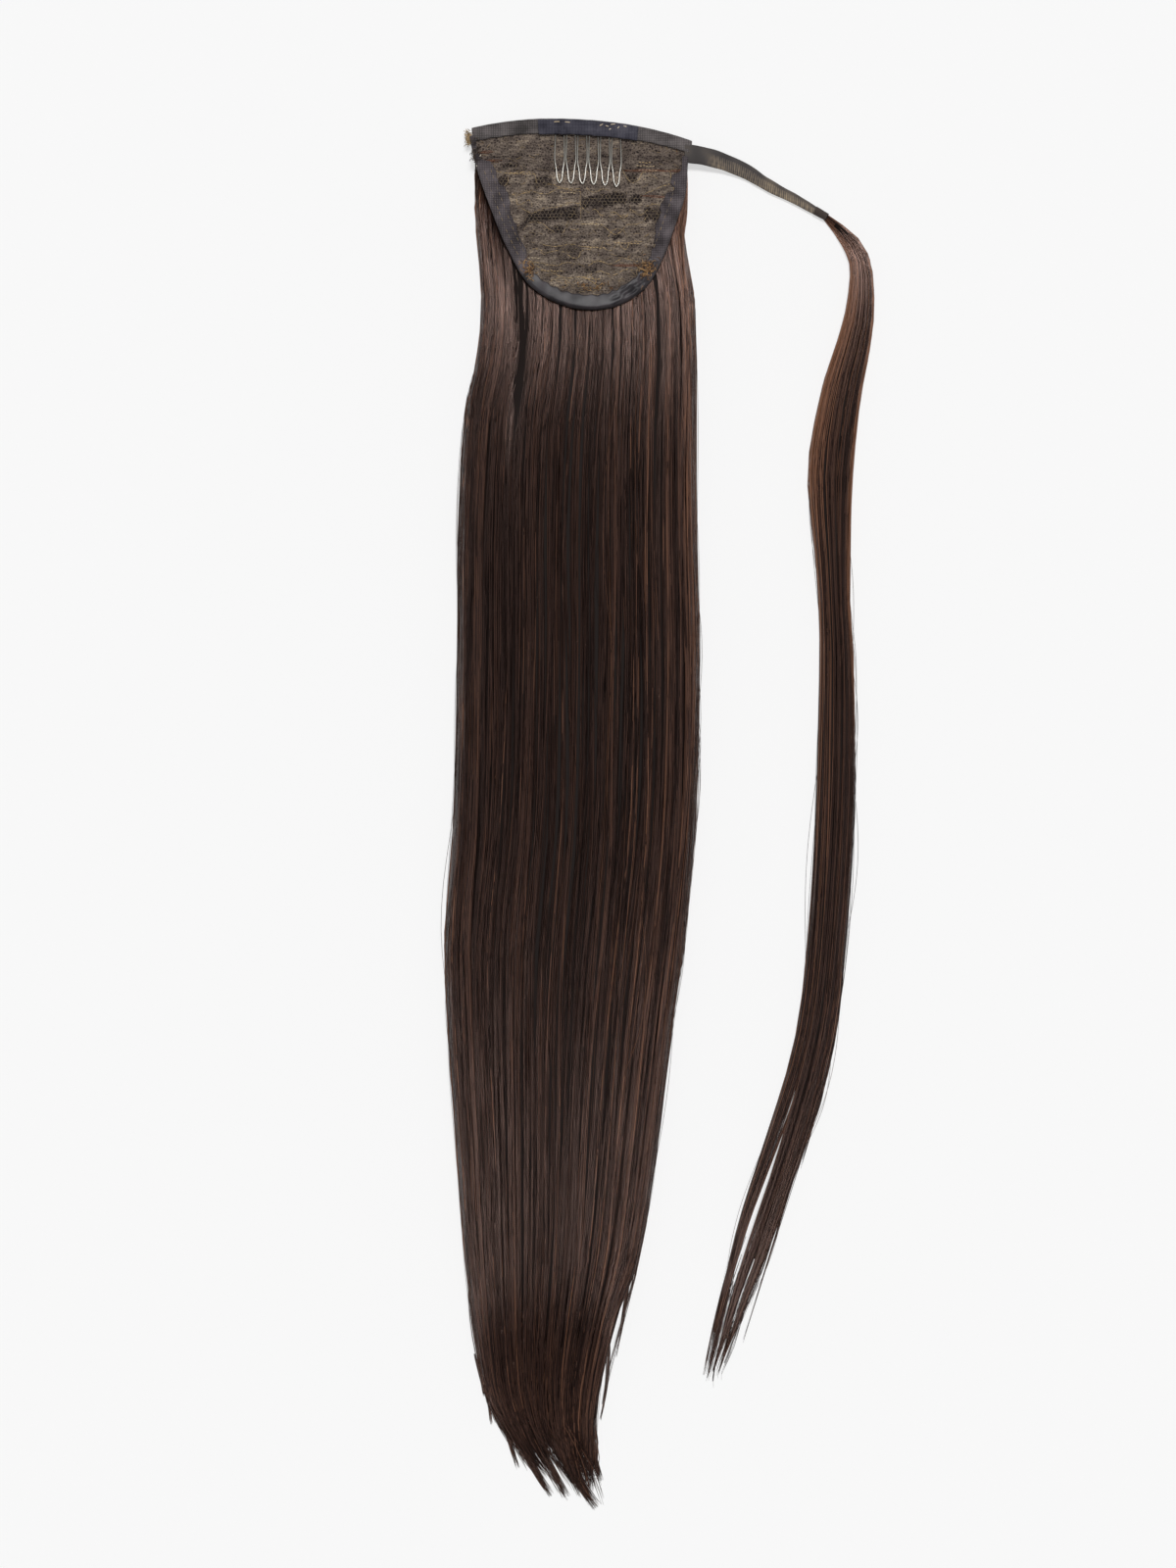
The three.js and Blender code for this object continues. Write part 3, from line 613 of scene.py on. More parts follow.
# %% Brush of loose ends
def end_hairs(count, seed):
    """Short hairs that stop at many lengths and fray the locks."""
    pick = np.random.default_rng(seed)
    t0 = pick.uniform(-1, 1, count)
    lock = np.clip(np.searchsorted(lock_edges, t0) - 1, 0, END_LOCKS - 1)
    outermost = np.interp((t0 + 1) / 2, HAIR_ENDS["across"], HAIR_ENDS["tip"])
    tip = 0.8 * lock_end[lock] + 0.2 * outermost - pick.exponential(0.008, count)
    tip = np.minimum(tip + 0.012 * (pick.random(count) < 0.2), 1.008)
    begin = tip - pick.uniform(0.05, 0.16, count)
    s = np.linspace(0, 1, 9)
    at = begin[:, None] + (tip - begin)[:, None] * s
    middle, half = fall_span(at)
    left_over = (tip[:, None] - at) * HAIR_LENGTH
    close = 0.35 + 0.65 * np.clip(left_over / lock_taper[lock, None], 0, 1) ** 0.6
    t = lock_t[lock, None] + (t0 - lock_t[lock])[:, None] * close
    t = t + pick.normal(0, 0.035, (count, 1)) * s**2
    t = t + pick.normal(0, 0.015, (count, 1)) * np.sin(5 * s)
    x = middle + half * drawn_in(np.clip(t, -1.06, 1.06), at)
    deep = 1 - 0.85 * pick.random((count, 1)) ** 2
    high = sunk_crown(at) * dome(np.clip(t, -0.995, 0.995)) * deep
    radius = pick.uniform(0.14, 0.24, (count, 1)) * np.clip(left_over / 9, 0.2, 1) ** 0.7
    radius = radius * np.clip(0.3 + s * 6, 0, 1)
    # The loose ends are toned lighter than the mass, partly painted light against the shade at the tips.
    shade = 0.56 + pick.normal(0, 0.13, count) + 0.2 * (pick.random(count) < 0.12)
    z = np.maximum(high, radius + 0.05)
    return np.stack([x, -at * HAIR_LENGTH, z], -1), radius, np.clip(shade, 0, 1)[:, None]


hair_piece("fall_loose_ends", "hair_fall", end_hairs(900, 15))

# %% [markdown]
# A few hairs always stray. Some lie across the others, some leave the outline by a millimetre
# or two, and near the ends thin wisps hang apart from the rest. Those wisps are in a table.


# %% Stray hairs of the fall
FREE_STATIONS = 15


def stray_hairs(count, seed):
    """Single hairs that lie across the fall or bow out past its sides."""
    pick = np.random.default_rng(seed)
    begin = pick.uniform(0.1, 0.85, count)
    outer = pick.random(count) < 0.45
    end = np.minimum(begin + pick.uniform(0.08, 0.3, count), np.where(outer, 0.93, 0.975))
    s = np.linspace(0, 1, FREE_STATIONS)
    at = begin[:, None] + (end - begin)[:, None] * s
    middle, half = fall_span(at)
    side = np.where(pick.random(count) < 0.6, 1.0, -1.0)
    t0 = np.where(outer, side * pick.uniform(0.97, 1.0, count), pick.uniform(-0.95, 0.95, count))
    bow = np.where(outer, side * pick.uniform(0.0, 0.03, count), pick.normal(0, 0.05, count))
    weave = pick.normal(0, 0.012, (count, 1)) * np.sin(7 * s + pick.uniform(0, 6, (count, 1)))
    t = t0[:, None] + bow[:, None] * np.sin(np.pi * s) + weave
    z = sunk_crown(at) * dome(np.clip(t, -0.995, 0.995)) + 0.35
    radius = 0.085 * np.clip(np.sin(np.pi * np.clip(s, 0.04, 0.97)) * 4, 0.3, 1) * np.ones((count, 1))
    tones = np.clip(pick.normal(0.62, 0.14, count), 0.2, 1)[:, None]
    paths = np.stack([middle + half * t, -at * HAIR_LENGTH, np.maximum(z, 0.15)], -1)
    return paths, radius, tones


SIDE_BAND = {
    "s": [0, 0.2, 0.5, 0.75, 1],
    "x": [41.4, 43.2, 43.4, 42.0, 42.4],
    "y": [-14, -21, -34, -46, -62],
}


def side_band(count, seed):
    """Warm hairs that show between the right tape and the outline, toned light partly as painted light
    against the tape's shade.
    """
    pick = np.random.default_rng(seed)
    s = np.linspace(0, 1, FREE_STATIONS)
    x = read_table(SIDE_BAND, "x", s) - pick.uniform(-0.5, 2.6, (count, 1)) * (1 - 0.3 * s)
    y = read_table(SIDE_BAND, "y", s) + pick.uniform(-4, 3, (count, 1))
    z = 2.0 + pick.uniform(0, 3.5, (count, 1)) + 2.0 * s
    # Their light tone is partly painted light, since they lie in the tape's shade.
    tones = pick.normal(0.88, 0.1, count).clip(0, 1)[:, None]
    return np.stack([x, y, z], -1), np.full(x.shape, 0.16), tones


def free_wisp(count, start, middle, end, wide, seed):
    """Hairs that leave the mass together and end apart from it; the places in millimetres."""
    pick = np.random.default_rng(seed)
    s = np.linspace(0, 1, FREE_STATIONS)
    start, middle, end = (np.array(p, dtype=float) for p in (start, middle, end))
    bend = 2 * middle - (start + end) / 2
    along = s * (1 - pick.exponential(0.2, (count, 1)).clip(0, 0.7))
    part = along[..., None]
    line = start * (1 - part) ** 2 + 2 * bend * part * (1 - part) + end * part**2
    ahead = unit(np.gradient(line, axis=1))
    aside = np.stack([-ahead[..., 1], ahead[..., 0]], -1)
    own = pick.uniform(-0.5, 0.5, (count, 1)) * wide * (1 - 0.7 * along)
    own = own + pick.normal(0, 0.25, (count, 1)) * np.sin(3 * along + pick.uniform(0, 6, (count, 1)))
    own = own + pick.normal(0, 0.14 * wide + 0.1, (count, 1)) * along**2
    xy = line + aside * own[..., None]
    z = 0.25 + pick.uniform(0, 0.8 + 0.35 * wide, (count, 1)) * (1 - along)
    radius = 0.14 * np.clip((1 - s) * 5, 0.3, 1) * np.clip(0.3 + 8 * s, 0, 1) * np.ones((count, 1))
    # The wisps are toned lighter than the mass, partly painted light for thin hair that lets light through.
    shade = pick.normal(0.57, 0.13, (count, 1)).clip(0, 1)
    return np.concatenate([xy, z[..., None]], -1), radius, shade


# Hairs in each wisp, its start inside the mass, a place half way, its end, and its width.
WISPS_APART = [
    (14, (-40.6, -508.0), (-37.6, -525.0), (-36.2, -534.5), 0.9),
    (10, (-43.2, -505.0), (-40.4, -517.5), (-39.2, -523.0), 0.7),
    (34, (-33.6, -526.0), (-28.4, -542.5), (-25.4, -552.5), 2.2),
    (80, (-29.6, -531.0), (-19.4, -551.2), (-11.6, -563.4), 4.0),
    (80, (-22.2, -533.0), (-13.2, -549.0), (-5.0, -564.0), 4.2),
    (130, (-10.2, -538.0), (-2.2, -554.4), (7.2, -568.4), 6.0),
    (30, (-3.0, -540.0), (1.8, -553.0), (4.2, -561.0), 2.0),
    (64, (2.0, -534.0), (5.4, -546.4), (8.8, -557.4), 3.2),
    (16, (4.0, -524.0), (6.0, -535.0), (7.6, -543.6), 0.8),
    (26, (11.6, -500.0), (10.6, -517.6), (8.2, -532.6), 1.0),
    (26, (20.2, -468.0), (18.0, -488.0), (14.6, -507.0), 1.1),
    (34, (-30.0, -528.0), (-20.0, -546.0), (-13.0, -556.5), 9.0),
    (44, (-8.0, -534.0), (0.4, -549.0), (4.6, -561.0), 13.0),
    (50, (-41.6, -8.0), (-41.9, -20.0), (-41.8, -40.0), 3.0),
    (60, (-33.0, -522.0), (-24.0, -541.0), (-17.5, -552.5), 11.0),
    (60, (-17.0, -530.0), (-7.0, -548.0), (0.5, -561.5), 11.0),
    (12, (-26.0, -530.0), (-14.0, -552.0), (-6.0, -566.0), 5.0),
    (14, (-2.0, -536.0), (5.0, -552.0), (10.4, -567.0), 6.0),
]


wisps = [free_wisp(*row, 200 + i) for i, row in enumerate(WISPS_APART)]
hair_piece("fall_strays", "hair_fall", side_band(60, 35), stray_hairs(190, 31), *wisps)

# %% [markdown]
# The wrap strand is hair of the same kind, sewn into the end of the strap. It swings out,
# turns down and then runs beside the fall. The hairs lie round its own curved middle line.

# %% The strap's and the strand's lines
SEAM_GAP = 0.5
REST_GAP = 0.3
STRAP_LENGTH = 51.4
STRAP_DROP = 22.4
STRAP_WIDTH = 7.8
STRAP_HEIGHT = 2.4
STRAP_LANDING = 0.5
STRAP_ROOT = np.array([0.5 * PANEL_WIDTH + SEAM_GAP, -0.172 * PANEL_LENGTH])
STRAP = {
    "along": [0, 0.12, 0.276, 0.463, 0.588, 0.712, 0.837, 1],
    "drop": [0, 0.04, 0.13, 0.304, 0.482, 0.643, 0.786, 1],
    "wide": [1, 0.95, 0.88, 0.79, 0.69, 0.61, 0.52, 0.42],
}
WHIPPING_LENGTH = 6.0
STRAND_LENGTH = 473.6
STRAND_REACH = 60.0
STRAND_WIDTH = 18.0
STRAND_HEIGHT = 6.5
STRAND_TAPER = 46.0
STRAND_POWER = 2.3
STRAND = {
    "down": [0, 0.016, 0.033, 0.05, 0.084, 0.117, 0.151, 0.219, 0.286, 0.337, 0.388, 0.523]
    + [0.658, 0.726, 0.793, 0.861, 0.928, 1],
    "out": [0, 0.12, 0.193, 0.213, 0.2, 0.147, 0.077, 0.003, 0.013, 0.027, 0.043, 0.027]
    + [-0.047, -0.133, -0.287, -0.467, -0.637, -0.807],
    "wide": [0.2, 0.36, 0.42, 0.49, 0.64, 0.78, 0.89, 1, 0.8, 0.69, 0.78, 0.89]
    + [0.91, 0.91, 0.89, 0.93, 0.74, 0.34],
    "tall": [0.44, 0.56, 0.66, 0.76, 0.9, 0.96, 1, 1, 1, 1, 0.98, 0.92]
    + [0.85, 0.8, 0.72, 0.62, 0.5, 0.3],
}
STRAND_LOCKS = {
    "across": [0.84, 0.5, 0.18],
    "tip": [0.968, 1.0, 0.982],
    "stray": [0.075, -0.045, -0.06],
    "thin": [4.2, 1.0, 1.5],
}


def strap_line(along):
    """Points on the strap's middle line, and the directions to the left of it."""
    along = np.asarray(along, dtype=float)

    def point(a):
        drop = read_table(STRAP, "drop", a)
        return np.stack([STRAP_ROOT[0] + a * STRAP_LENGTH, STRAP_ROOT[1] - drop * STRAP_DROP], -1)

    ahead = unit(point(np.minimum(along + 0.02, 1)) - point(np.maximum(along - 0.02, 0)))
    return point(along), np.stack([-ahead[..., 1], ahead[..., 0]], -1)


strap_end, whipping_left = strap_line(1.0)
whipping_ahead = np.array([whipping_left[1], -whipping_left[0]])
STRAND_ROOT = strap_end + whipping_ahead * (WHIPPING_LENGTH + 2 * REST_GAP)


def strand_line(down):
    """Points on the wrap strand's middle line, and the directions to the left of it."""

    def point(d):
        out = read_table(STRAND, "out", d) * STRAND_REACH + 1.0 * smooth_step(d, 0.0, 0.05)
        return np.stack([STRAND_ROOT[0] + out, STRAND_ROOT[1] - d * STRAND_LENGTH], -1)

    ahead = unit(point(down + 0.004) - point(np.maximum(down - 0.004, 0)))
    start = np.clip(down / 0.01, 0, 1)[..., None]
    ahead = unit(start * ahead + (1 - start) * whipping_ahead)
    return point(down), np.stack([-ahead[..., 1], ahead[..., 0]], -1)


print("strand's root, mm:", np.round(STRAND_ROOT, 1))

# %% [markdown]
# The strand is made in the same three steps. Its locks part near the end: a narrow one on the
# left leaves a long slit and meets the rest again, and thin hairs hang free on the right.


# %% Hairs of the wrap strand
SLIT = {
    "down": [0, 0.72, 0.765, 0.8, 0.84, 0.875, 0.91, 0.94, 0.97, 1],
    "open": [0, 0, 0.25, 0.8, 1.2, 1.1, 0.6, 0.45, 0.4, 0.3],
    "narrow": [1, 0.94, 0.95, 0.86, 0.74, 0.78, 0.86, 0.86, 0.95, 1.1],
}


def strand_width(down):
    """The strand's width, which narrows where its slit is open."""
    return read_table(STRAND, "wide", down) * STRAND_WIDTH * read_table(SLIT, "narrow", down)


def strand_hairs(count, seed):
    """Paths, radii and tones of the hairs round the strand's middle line."""
    pick = np.random.default_rng(seed)
    wisps = 44
    wisp_angles = np.sort(pick.uniform(-0.2, np.pi + 0.2, wisps))
    shade = pick.normal(0, 0.12, wisps)
    swing = pick.normal(0, 1, (wisps, 2)) * [0.06, 0.035]
    phase = pick.uniform(0, 2 * np.pi, (wisps, 2))
    angle = pick.uniform(-0.25, np.pi + 0.25, count)
    wisp = np.abs(angle[:, None] - wisp_angles).argmin(1)
    angle = angle + 0.3 * (wisp_angles[wisp] - angle)
    a0 = rounded(angle, STRAND_POWER)
    rise = np.sin(np.clip(angle, 0, np.pi)) ** (2 / STRAND_POWER)
    depth = pick.exponential(0.09, count).clip(0, 0.5)
    a0, rise = a0 * (1 - depth), rise * (1 - depth)
    # The lock that each hair ends in, how far that lock strays and how soon it thins.
    across = (1 - a0) / 2
    lock = np.abs(across[:, None] - np.array(STRAND_LOCKS["across"])).argmin(1)
    lock_end = np.array(STRAND_LOCKS["tip"])[lock]
    lock_a = 1 - 2 * np.array(STRAND_LOCKS["across"])[lock]
    stray = np.array(STRAND_LOCKS["stray"])[lock]
    thin = np.array(STRAND_LOCKS["thin"])[lock]
    tip = lock_end - thin * pick.exponential(0.024, count).clip(0, 0.3 / thin)
    tip = np.minimum(tip + 0.02 * (pick.random(count) < 0.15), 1.008)
    stations = 36
    share = np.linspace(0, 1, stations)
    share = share - 0.09 * np.sin(2 * np.pi * share)
    down = tip[:, None] * share
    # The first stations are drawn back into the whipping and narrowed to fit in it.
    start = np.clip(1 - share * (stations - 1), 0, 1)
    inside = 1 - 0.4 * start
    middle, left = strand_line(down)
    middle = middle - 1.6 * start[:, None] * whipping_ahead
    width = strand_width(down)
    tall = read_table(STRAND, "tall", down) * STRAND_HEIGHT
    sway = 0.0
    for k, swings in enumerate((1.1, 2.6)):
        turns = 2 * np.pi * swings * down + phase[wisp, k, None]
        sway = sway + swing[wisp, k, None] * np.sin(turns)
    for swings, size in ((1.7, 0.018), (4.2, 0.01)):
        own_phase = pick.uniform(0, 2 * np.pi, (count, 1))
        weave = pick.normal(0, size, (count, 1))
        sway = sway + weave * np.sin(2 * np.pi * swings * down + own_phase)
    left_over = (lock_end[:, None] - down) * STRAND_LENGTH
    close = 0.2 + 0.8 * np.clip(left_over / (1.3 * STRAND_TAPER), 0, 1) ** 0.65
    a = lock_a[:, None] + (a0[:, None] - lock_a[:, None] + sway) * close
    strayed = read_table(SLIT, "open", down)
    offset = (a * width / 2 - stray[:, None] * STRAND_WIDTH * strayed) * inside
    z = tall * rise[:, None] * close**0.7 * inside**1.6 + 0.2 * np.sin(11 * a + 5 * down)
    own_left = (tip[:, None] - down) * STRAND_LENGTH
    radius = pick.uniform(0.13, 0.22, (count, 1)) * np.clip(own_left / 12, 0.16, 1) ** 0.7
    radius = radius * np.clip(0.75 + down * 8, 0, 1)
    z = np.maximum(z, radius + 0.05 + 0.3 * pick.random((count, 1)))
    xy = middle + left * offset[..., None]
    colour = 0.47 + shade[wisp] + pick.normal(0, 0.12, count)
    warm = pick.random(count) < 0.14
    colour = np.where(warm, colour + pick.uniform(0.2, 0.45, count), colour)
    # The upper third is lighter, most of all along its right edge, and the end is darker.
    past_root = smooth_step(down, 0.03, 0.07)
    upper = 0.17 * (1 - smooth_step(down, 0.12, 0.38))
    upper = upper - 0.3 * a * past_root * (1 - smooth_step(down, 0.16, 0.34))
    high_up = 1 - smooth_step(down, 0.3, 0.5)
    edges = smooth_step(np.abs(a), 0.76, 0.98) * (0.4 * high_up + 0.06)
    edges = edges + 0.3 * smooth_step(a, 0.7, 0.92) * high_up * past_root
    edges = edges - 0.07 * smooth_step(down, 0.76, 0.88)
    tones = np.clip(colour[:, None] + upper + edges, 0, 1)
    return np.concatenate([xy, z[..., None]], -1), radius, tones


hair_piece("wrap_strand_hairs", "wrap_strand", strand_hairs(660, 21))

# %% [markdown]
# As on the fall, some hairs stray: single ones beside the strand, loose ends that fray its
# last quarter, and thin wisps that hang apart.


# %% Stray hairs of the wrap strand
def strand_strays(count, seed):
    """Single hairs beside the strand: mostly on its right, and thickest near its end."""
    pick = np.random.default_rng(seed)
    early = pick.random(count) < 0.5
    begin = np.where(early, pick.uniform(0.2, 0.6, count), pick.uniform(0.66, 0.86, count))
    end = np.minimum(begin + pick.uniform(0.08, 0.3, count), 0.99)
    s = np.linspace(0, 1, 22)
    down = begin[:, None] + (end - begin)[:, None] * s
    middle, left = strand_line(down)
    side = np.where(pick.random(count) < 0.78, 1.0, -1.0)[:, None]
    away = pick.exponential(1.1, (count, 1)).clip(0, 3.2) * np.sin(np.pi * np.clip(s, 0, 0.9))
    xy = middle + left * (side * (strand_width(down) / 2 * 0.94 + away))[..., None]
    z = 0.2 + pick.uniform(0, 1.5, (count, 1)) * (1 - s)
    radius = 0.08 * np.clip((1 - s) * 6, 0.35, 1) * np.ones((count, 1))
    tones = pick.normal(0.5, 0.12, count).clip(0, 1)[:, None]
    return np.concatenate([xy, z[..., None]], -1), radius, tones


def strand_fringe(count, seed):
    """Loose ends that fray the strand's last quarter and cross its slit."""
    pick = np.random.default_rng(seed)
    begin = pick.uniform(0.86, 0.96, count)
    reach = pick.uniform(0.03, 0.1, count)
    end = np.minimum(begin + reach, 1.014 - pick.exponential(0.012, count))
    s = np.linspace(0, 1, 10)
    down = begin[:, None] + (end - begin)[:, None] * s
    middle, left = strand_line(down)
    width = read_table(STRAND, "wide", down) * STRAND_WIDTH
    a = pick.uniform(-0.85, 0.95, (count, 1)) + pick.normal(0, 0.3, (count, 1)) * s
    xy = middle + left * (np.clip(a, -1.3, 1.3) * width / 2)[..., None]
    z = 0.2 + pick.uniform(0, 1.6, (count, 1)) * (1 - 0.7 * s)
    radius = 0.1 * np.clip((1 - s) * 4, 0.35, 1) * np.ones((count, 1))
    tones = pick.normal(0.46, 0.1, count).clip(0, 1)[:, None]
    return np.concatenate([xy, z[..., None]], -1), radius, tones


# The same five values for each wisp as in the fall's table.
STRAND_WISPS = [
    (18, (102.4, -382.0), (96.8, -406.0), (89.6, -431.0), 0.8),
    (16, (97.2, -402.0), (84.8, -442.0), (66.4, -502.0), 0.7),
    (26, (60.8, -478.0), (55.6, -500.0), (51.6, -516.5), 2.2),
    (26, (65.0, -476.0), (61.4, -494.0), (57.6, -511.0), 1.4),
    (14, (62.2, -466.0), (55.6, -490.0), (50.8, -514.0), 0.7),
]
hair_piece("wrap_strand_strays", "wrap_strand", strand_strays(110, 22))
hair_piece("wrap_strand_fringe", "wrap_strand", strand_fringe(60, 23))
strand_wisps = [free_wisp(*row, 300 + i) for i, row in enumerate(STRAND_WISPS)]
hair_piece("wrap_strand_wisps", "wrap_strand", *strand_wisps)

# %% [markdown]
# The strand has a dark body too, as far as its slit. Past that each side of the slit has a
# thin core of its own.

# %% The body under the strand
STRAND_BODY_END = 0.765
body_down = np.linspace(0.006, STRAND_BODY_END, 80)
body_point, body_left = strand_line(body_down)
fading = smooth_step(-body_down, -STRAND_BODY_END, -0.68)
body_wide = (read_table(STRAND, "wide", body_down) * STRAND_WIDTH / 2 - 0.9).clip(0.4)
body_wide = body_wide * (0.2 + 0.8 * fading)
body_tall = (read_table(STRAND, "tall", body_down) * STRAND_HEIGHT - 1.0).clip(0.4)
body_tall = body_tall * (0.3 + 0.7 * fading)
turn = np.linspace(0, np.pi, 18)
ring_a = np.concatenate([rounded(turn, STRAND_POWER), np.linspace(-0.9, 0.9, 6)])
ring_z = np.concatenate([np.sin(turn) ** (2 / STRAND_POWER), np.zeros(6)])
xy = body_point[:, None] + body_left[:, None] * (body_wide[:, None] * ring_a)[..., None]
z = (body_tall[:, None] * ring_z + 0.15)[..., None]
# The strand's left faces the other way from the fall's, so each ring is turned round.
body_rings = np.concatenate([xy, z], -1)[:, ::-1]


def lock_body(low, high, stray, end):
    """Rings of a dark core under one side of the slit, between two places across."""
    start = 0.73
    down = np.linspace(start, end, 40)
    share = ((down - start) / (end - start))[:, None]
    middle, left = strand_line(down)
    width = strand_width(down)
    turn = np.linspace(0, 2 * np.pi, 14, endpoint=False)
    a = (low + high) / 2 + (high - low) / 2 * (1 - 0.6 * share**2) * np.cos(turn)
    strayed = (stray * STRAND_WIDTH * read_table(SLIT, "open", down))[:, None]
    offset = a * width[:, None] / 2 - strayed
    tall = (read_table(STRAND, "tall", down) * STRAND_HEIGHT * 0.5)[:, None] * (1 - 0.7 * share)
    xy = middle[:, None] + left[:, None] * offset[..., None]
    z = 0.15 + tall * (0.5 + 0.5 * np.sin(turn))
    return np.concatenate([xy, z[..., None]], -1)[:, ::-1]


left_stray, right_stray = STRAND_LOCKS["stray"][:2]
STRAND_BODIES = {
    "wrap_strand_body": body_rings,
    "wrap_strand_left_core": lock_body(-0.88, -0.44, left_stray, 0.87),
    "wrap_strand_right_core": lock_body(-0.26, 0.86, right_stray, 0.9),
}
bodies = [closed_rings(name, rings, under_material) for name, rings in STRAND_BODIES.items()]
fit(bodies, "wrap_strand")

# %% [markdown]
# The base is a rounded wedge of lace. Its edge comes from a short table, and every cloth
# piece on it is worked out from rows that run across the base between its two sides.

# %% The base's edge and rows
TOP_BOW = 5.9
PANEL_WALL = 1.4
PANEL_DROOP = 0.26
HAIR_GAP = 0.7
TAPE_WALL = 1.0
HEADER_WIDTH = 4.8
TAPE_OVERHANG = 1.5
LOWEST_ROW = 0.975
BASE_EDGE = {
    "side": [-0.505, -0.468, -0.405, -0.318, -0.214, -0.041, 0.145, 0.286, 0.364, 0.427]
    + [0.473, 0.486, 0.5],
    "down": [0.047, 0.233, 0.446, 0.689, 0.881, 0.987, 0.987, 0.891, 0.741, 0.549]
    + [0.383, 0.197, 0.109],
}
corner_x = np.array(BASE_EDGE["side"]) * PANEL_WIDTH
corner_y = -np.array(BASE_EDGE["down"]) * PANEL_LENGTH
chord = np.concatenate([[0], np.cumsum(np.hypot(np.diff(corner_x), np.diff(corner_y)))])
edge_table = {"run": chord, "x": corner_x, "y": corner_y}
fine_run = np.linspace(0, chord[-1], 900)
fine_edge = np.stack([read_table(edge_table, c, fine_run) for c in ("x", "y")], -1)
steps = np.hypot(*np.diff(fine_edge, axis=0).T)
fine_share = np.concatenate([[0], np.cumsum(steps)]) / steps.sum()
foot = fine_edge[:, 1].argmin()
print("length of the base's edge, mm:", round(steps.sum(), 1))


def edge_at(share):
    """Points on the base's edge and the directions inwards from it."""

    def point(s):
        return np.stack([np.interp(s, fine_share, fine_edge[:, c]) for c in (0, 1)], -1)

    ahead = unit(point(np.minimum(share + 0.006, 1)) - point(np.maximum(share - 0.006, 0)))
    return point(share), np.stack([-ahead[..., 1], ahead[..., 0]], -1)


def base_point(u, v):
    """x and y at a share u of the way across and v of the way down the base."""
    left_y = corner_y[0] + (-LOWEST_ROW * PANEL_LENGTH - corner_y[0]) * v
    right_y = corner_y[-1] + (-LOWEST_ROW * PANEL_LENGTH - corner_y[-1]) * v
    left_x = np.interp(-left_y, -fine_edge[:foot, 1], fine_edge[:foot, 0])
    right_x = np.interp(right_y, fine_edge[foot:, 1], fine_edge[foot:, 0])
    bow = TOP_BOW * (1 - v) ** 1.5 * (1 - np.abs(2 * u - 1) ** 2.2)
    return left_x + (right_x - left_x) * u, left_y + (right_y - left_y) * u + bow


def panel_top(x, y):
    """Height of the lace's upper face."""
    side = x / (PANEL_WIDTH / 2)
    return HAIR_GAP + crown(-y / HAIR_LENGTH) * (1 - PANEL_DROOP * side**2) + PANEL_WALL


# %% [markdown]
# The lace is several strips sewn one below the other, each edge lapping the next, and
# puckered by the rows of hair sewn to its far side. That relief is in the mesh. Where a strip
# has a hole in its pattern, a coarse net shows and the dark hair behind it.

# %% Relief of the lace
SEAMS_DOWN = np.array(
    [14.9, 20.8, 26.6, 31.0, 36.2, 40.6, 44.6, 49.0, 52.4, 56.4, 60.2, 64.4, 69.0]
)
NET_PATCHES = {
    "x": [9.6, 22.4, -11.8, -15.2, -31.2, 29.6, 21.2, -28.6, -10.2, 15.4, -20.6, -4.6, 4.4, -33.6],
    "down": [33.2, 32.9, 39.6, 25.6, 25.2, 39.0, 24.0, 18.6, 45.6, 48.2, 48.8, 55.2, 62.4, 34.8],
    "width": [19.0, 5.4, 22.8, 7.4, 4.0, 7.4, 4.2, 7.0, 6.4, 3.4, 4.6, 10.6, 5.0, 3.6],
    "height": [4.9, 3.4, 5.0, 5.0, 4.2, 5.2, 3.6, 2.0, 3.2, 2.2, 4.6, 8.0, 3.0, 4.0],
    "strength": [1, 1, 0.97, 0.85, 1, 0.9, 0.85, 0.8, 0.7, 0.8, 0.42, 0.45, 0.5, 0.8],
}


def net_share(x, y):
    """How much the net shows, from 0 in whole lace to 1 in the middle of a hole."""
    total = np.zeros(np.shape(x))
    wobble = 0.6 * ripple(x, y, 3.4, 5) + 0.4 * ripple(x, y, 1.7, 6)
    for cx, down, width, high, strength in zip(*NET_PATCHES.values()):
        across = (np.abs(x - cx) + 0.4 * wobble) / (width / 2)
        upright = (np.abs(y + down - 0.12 * (x - cx)) + wobble) / (high / 2)
        inside = 1 - smooth_step(np.maximum(across, upright), 0.88, 1.04)
        total = np.maximum(total, inside * strength)
    return total


def seam_place(x, y):
    """The distance down the base with the seams' waver in it, and the distance to a seam."""
    wavy = -y + 0.5 * ripple(x, y * 0, 9.0, 8)
    return wavy, np.abs(wavy[..., None] - SEAMS_DOWN).min(-1)


def lace_relief(x, y):
    """Height of folds, laps and puckers above the smooth face, in millimetres."""
    wavy, nearest = seam_place(x, y)
    last = SEAMS_DOWN[np.clip(np.searchsorted(SEAMS_DOWN, wavy) - 1, 0, len(SEAMS_DOWN) - 1)]
    past = np.clip(wavy - last, 0, None)
    groove = -0.34 * np.exp(-((nearest / 0.4) ** 2))
    lap = 0.34 * np.exp(-past / 1.5) * (wavy > SEAMS_DOWN[0])
    folds = 0.24 * ripple(x, y, 11.0, 3) + 0.16 * ripple(x * 0.3, y, 2.2, 4)
    return 0.1 + groove + lap + folds - 0.35 * net_share(x, y)


# %% [markdown]
# Cotton lace is matt and fuzzy, worn grey-brown here by the hair's dye. A thread of its ground
# is 0.3 mm; it is drawn at 1.1 mm so that it shows. Three layers vary its shade: the threads
# of the ground, rows across it, and cloudy wear.

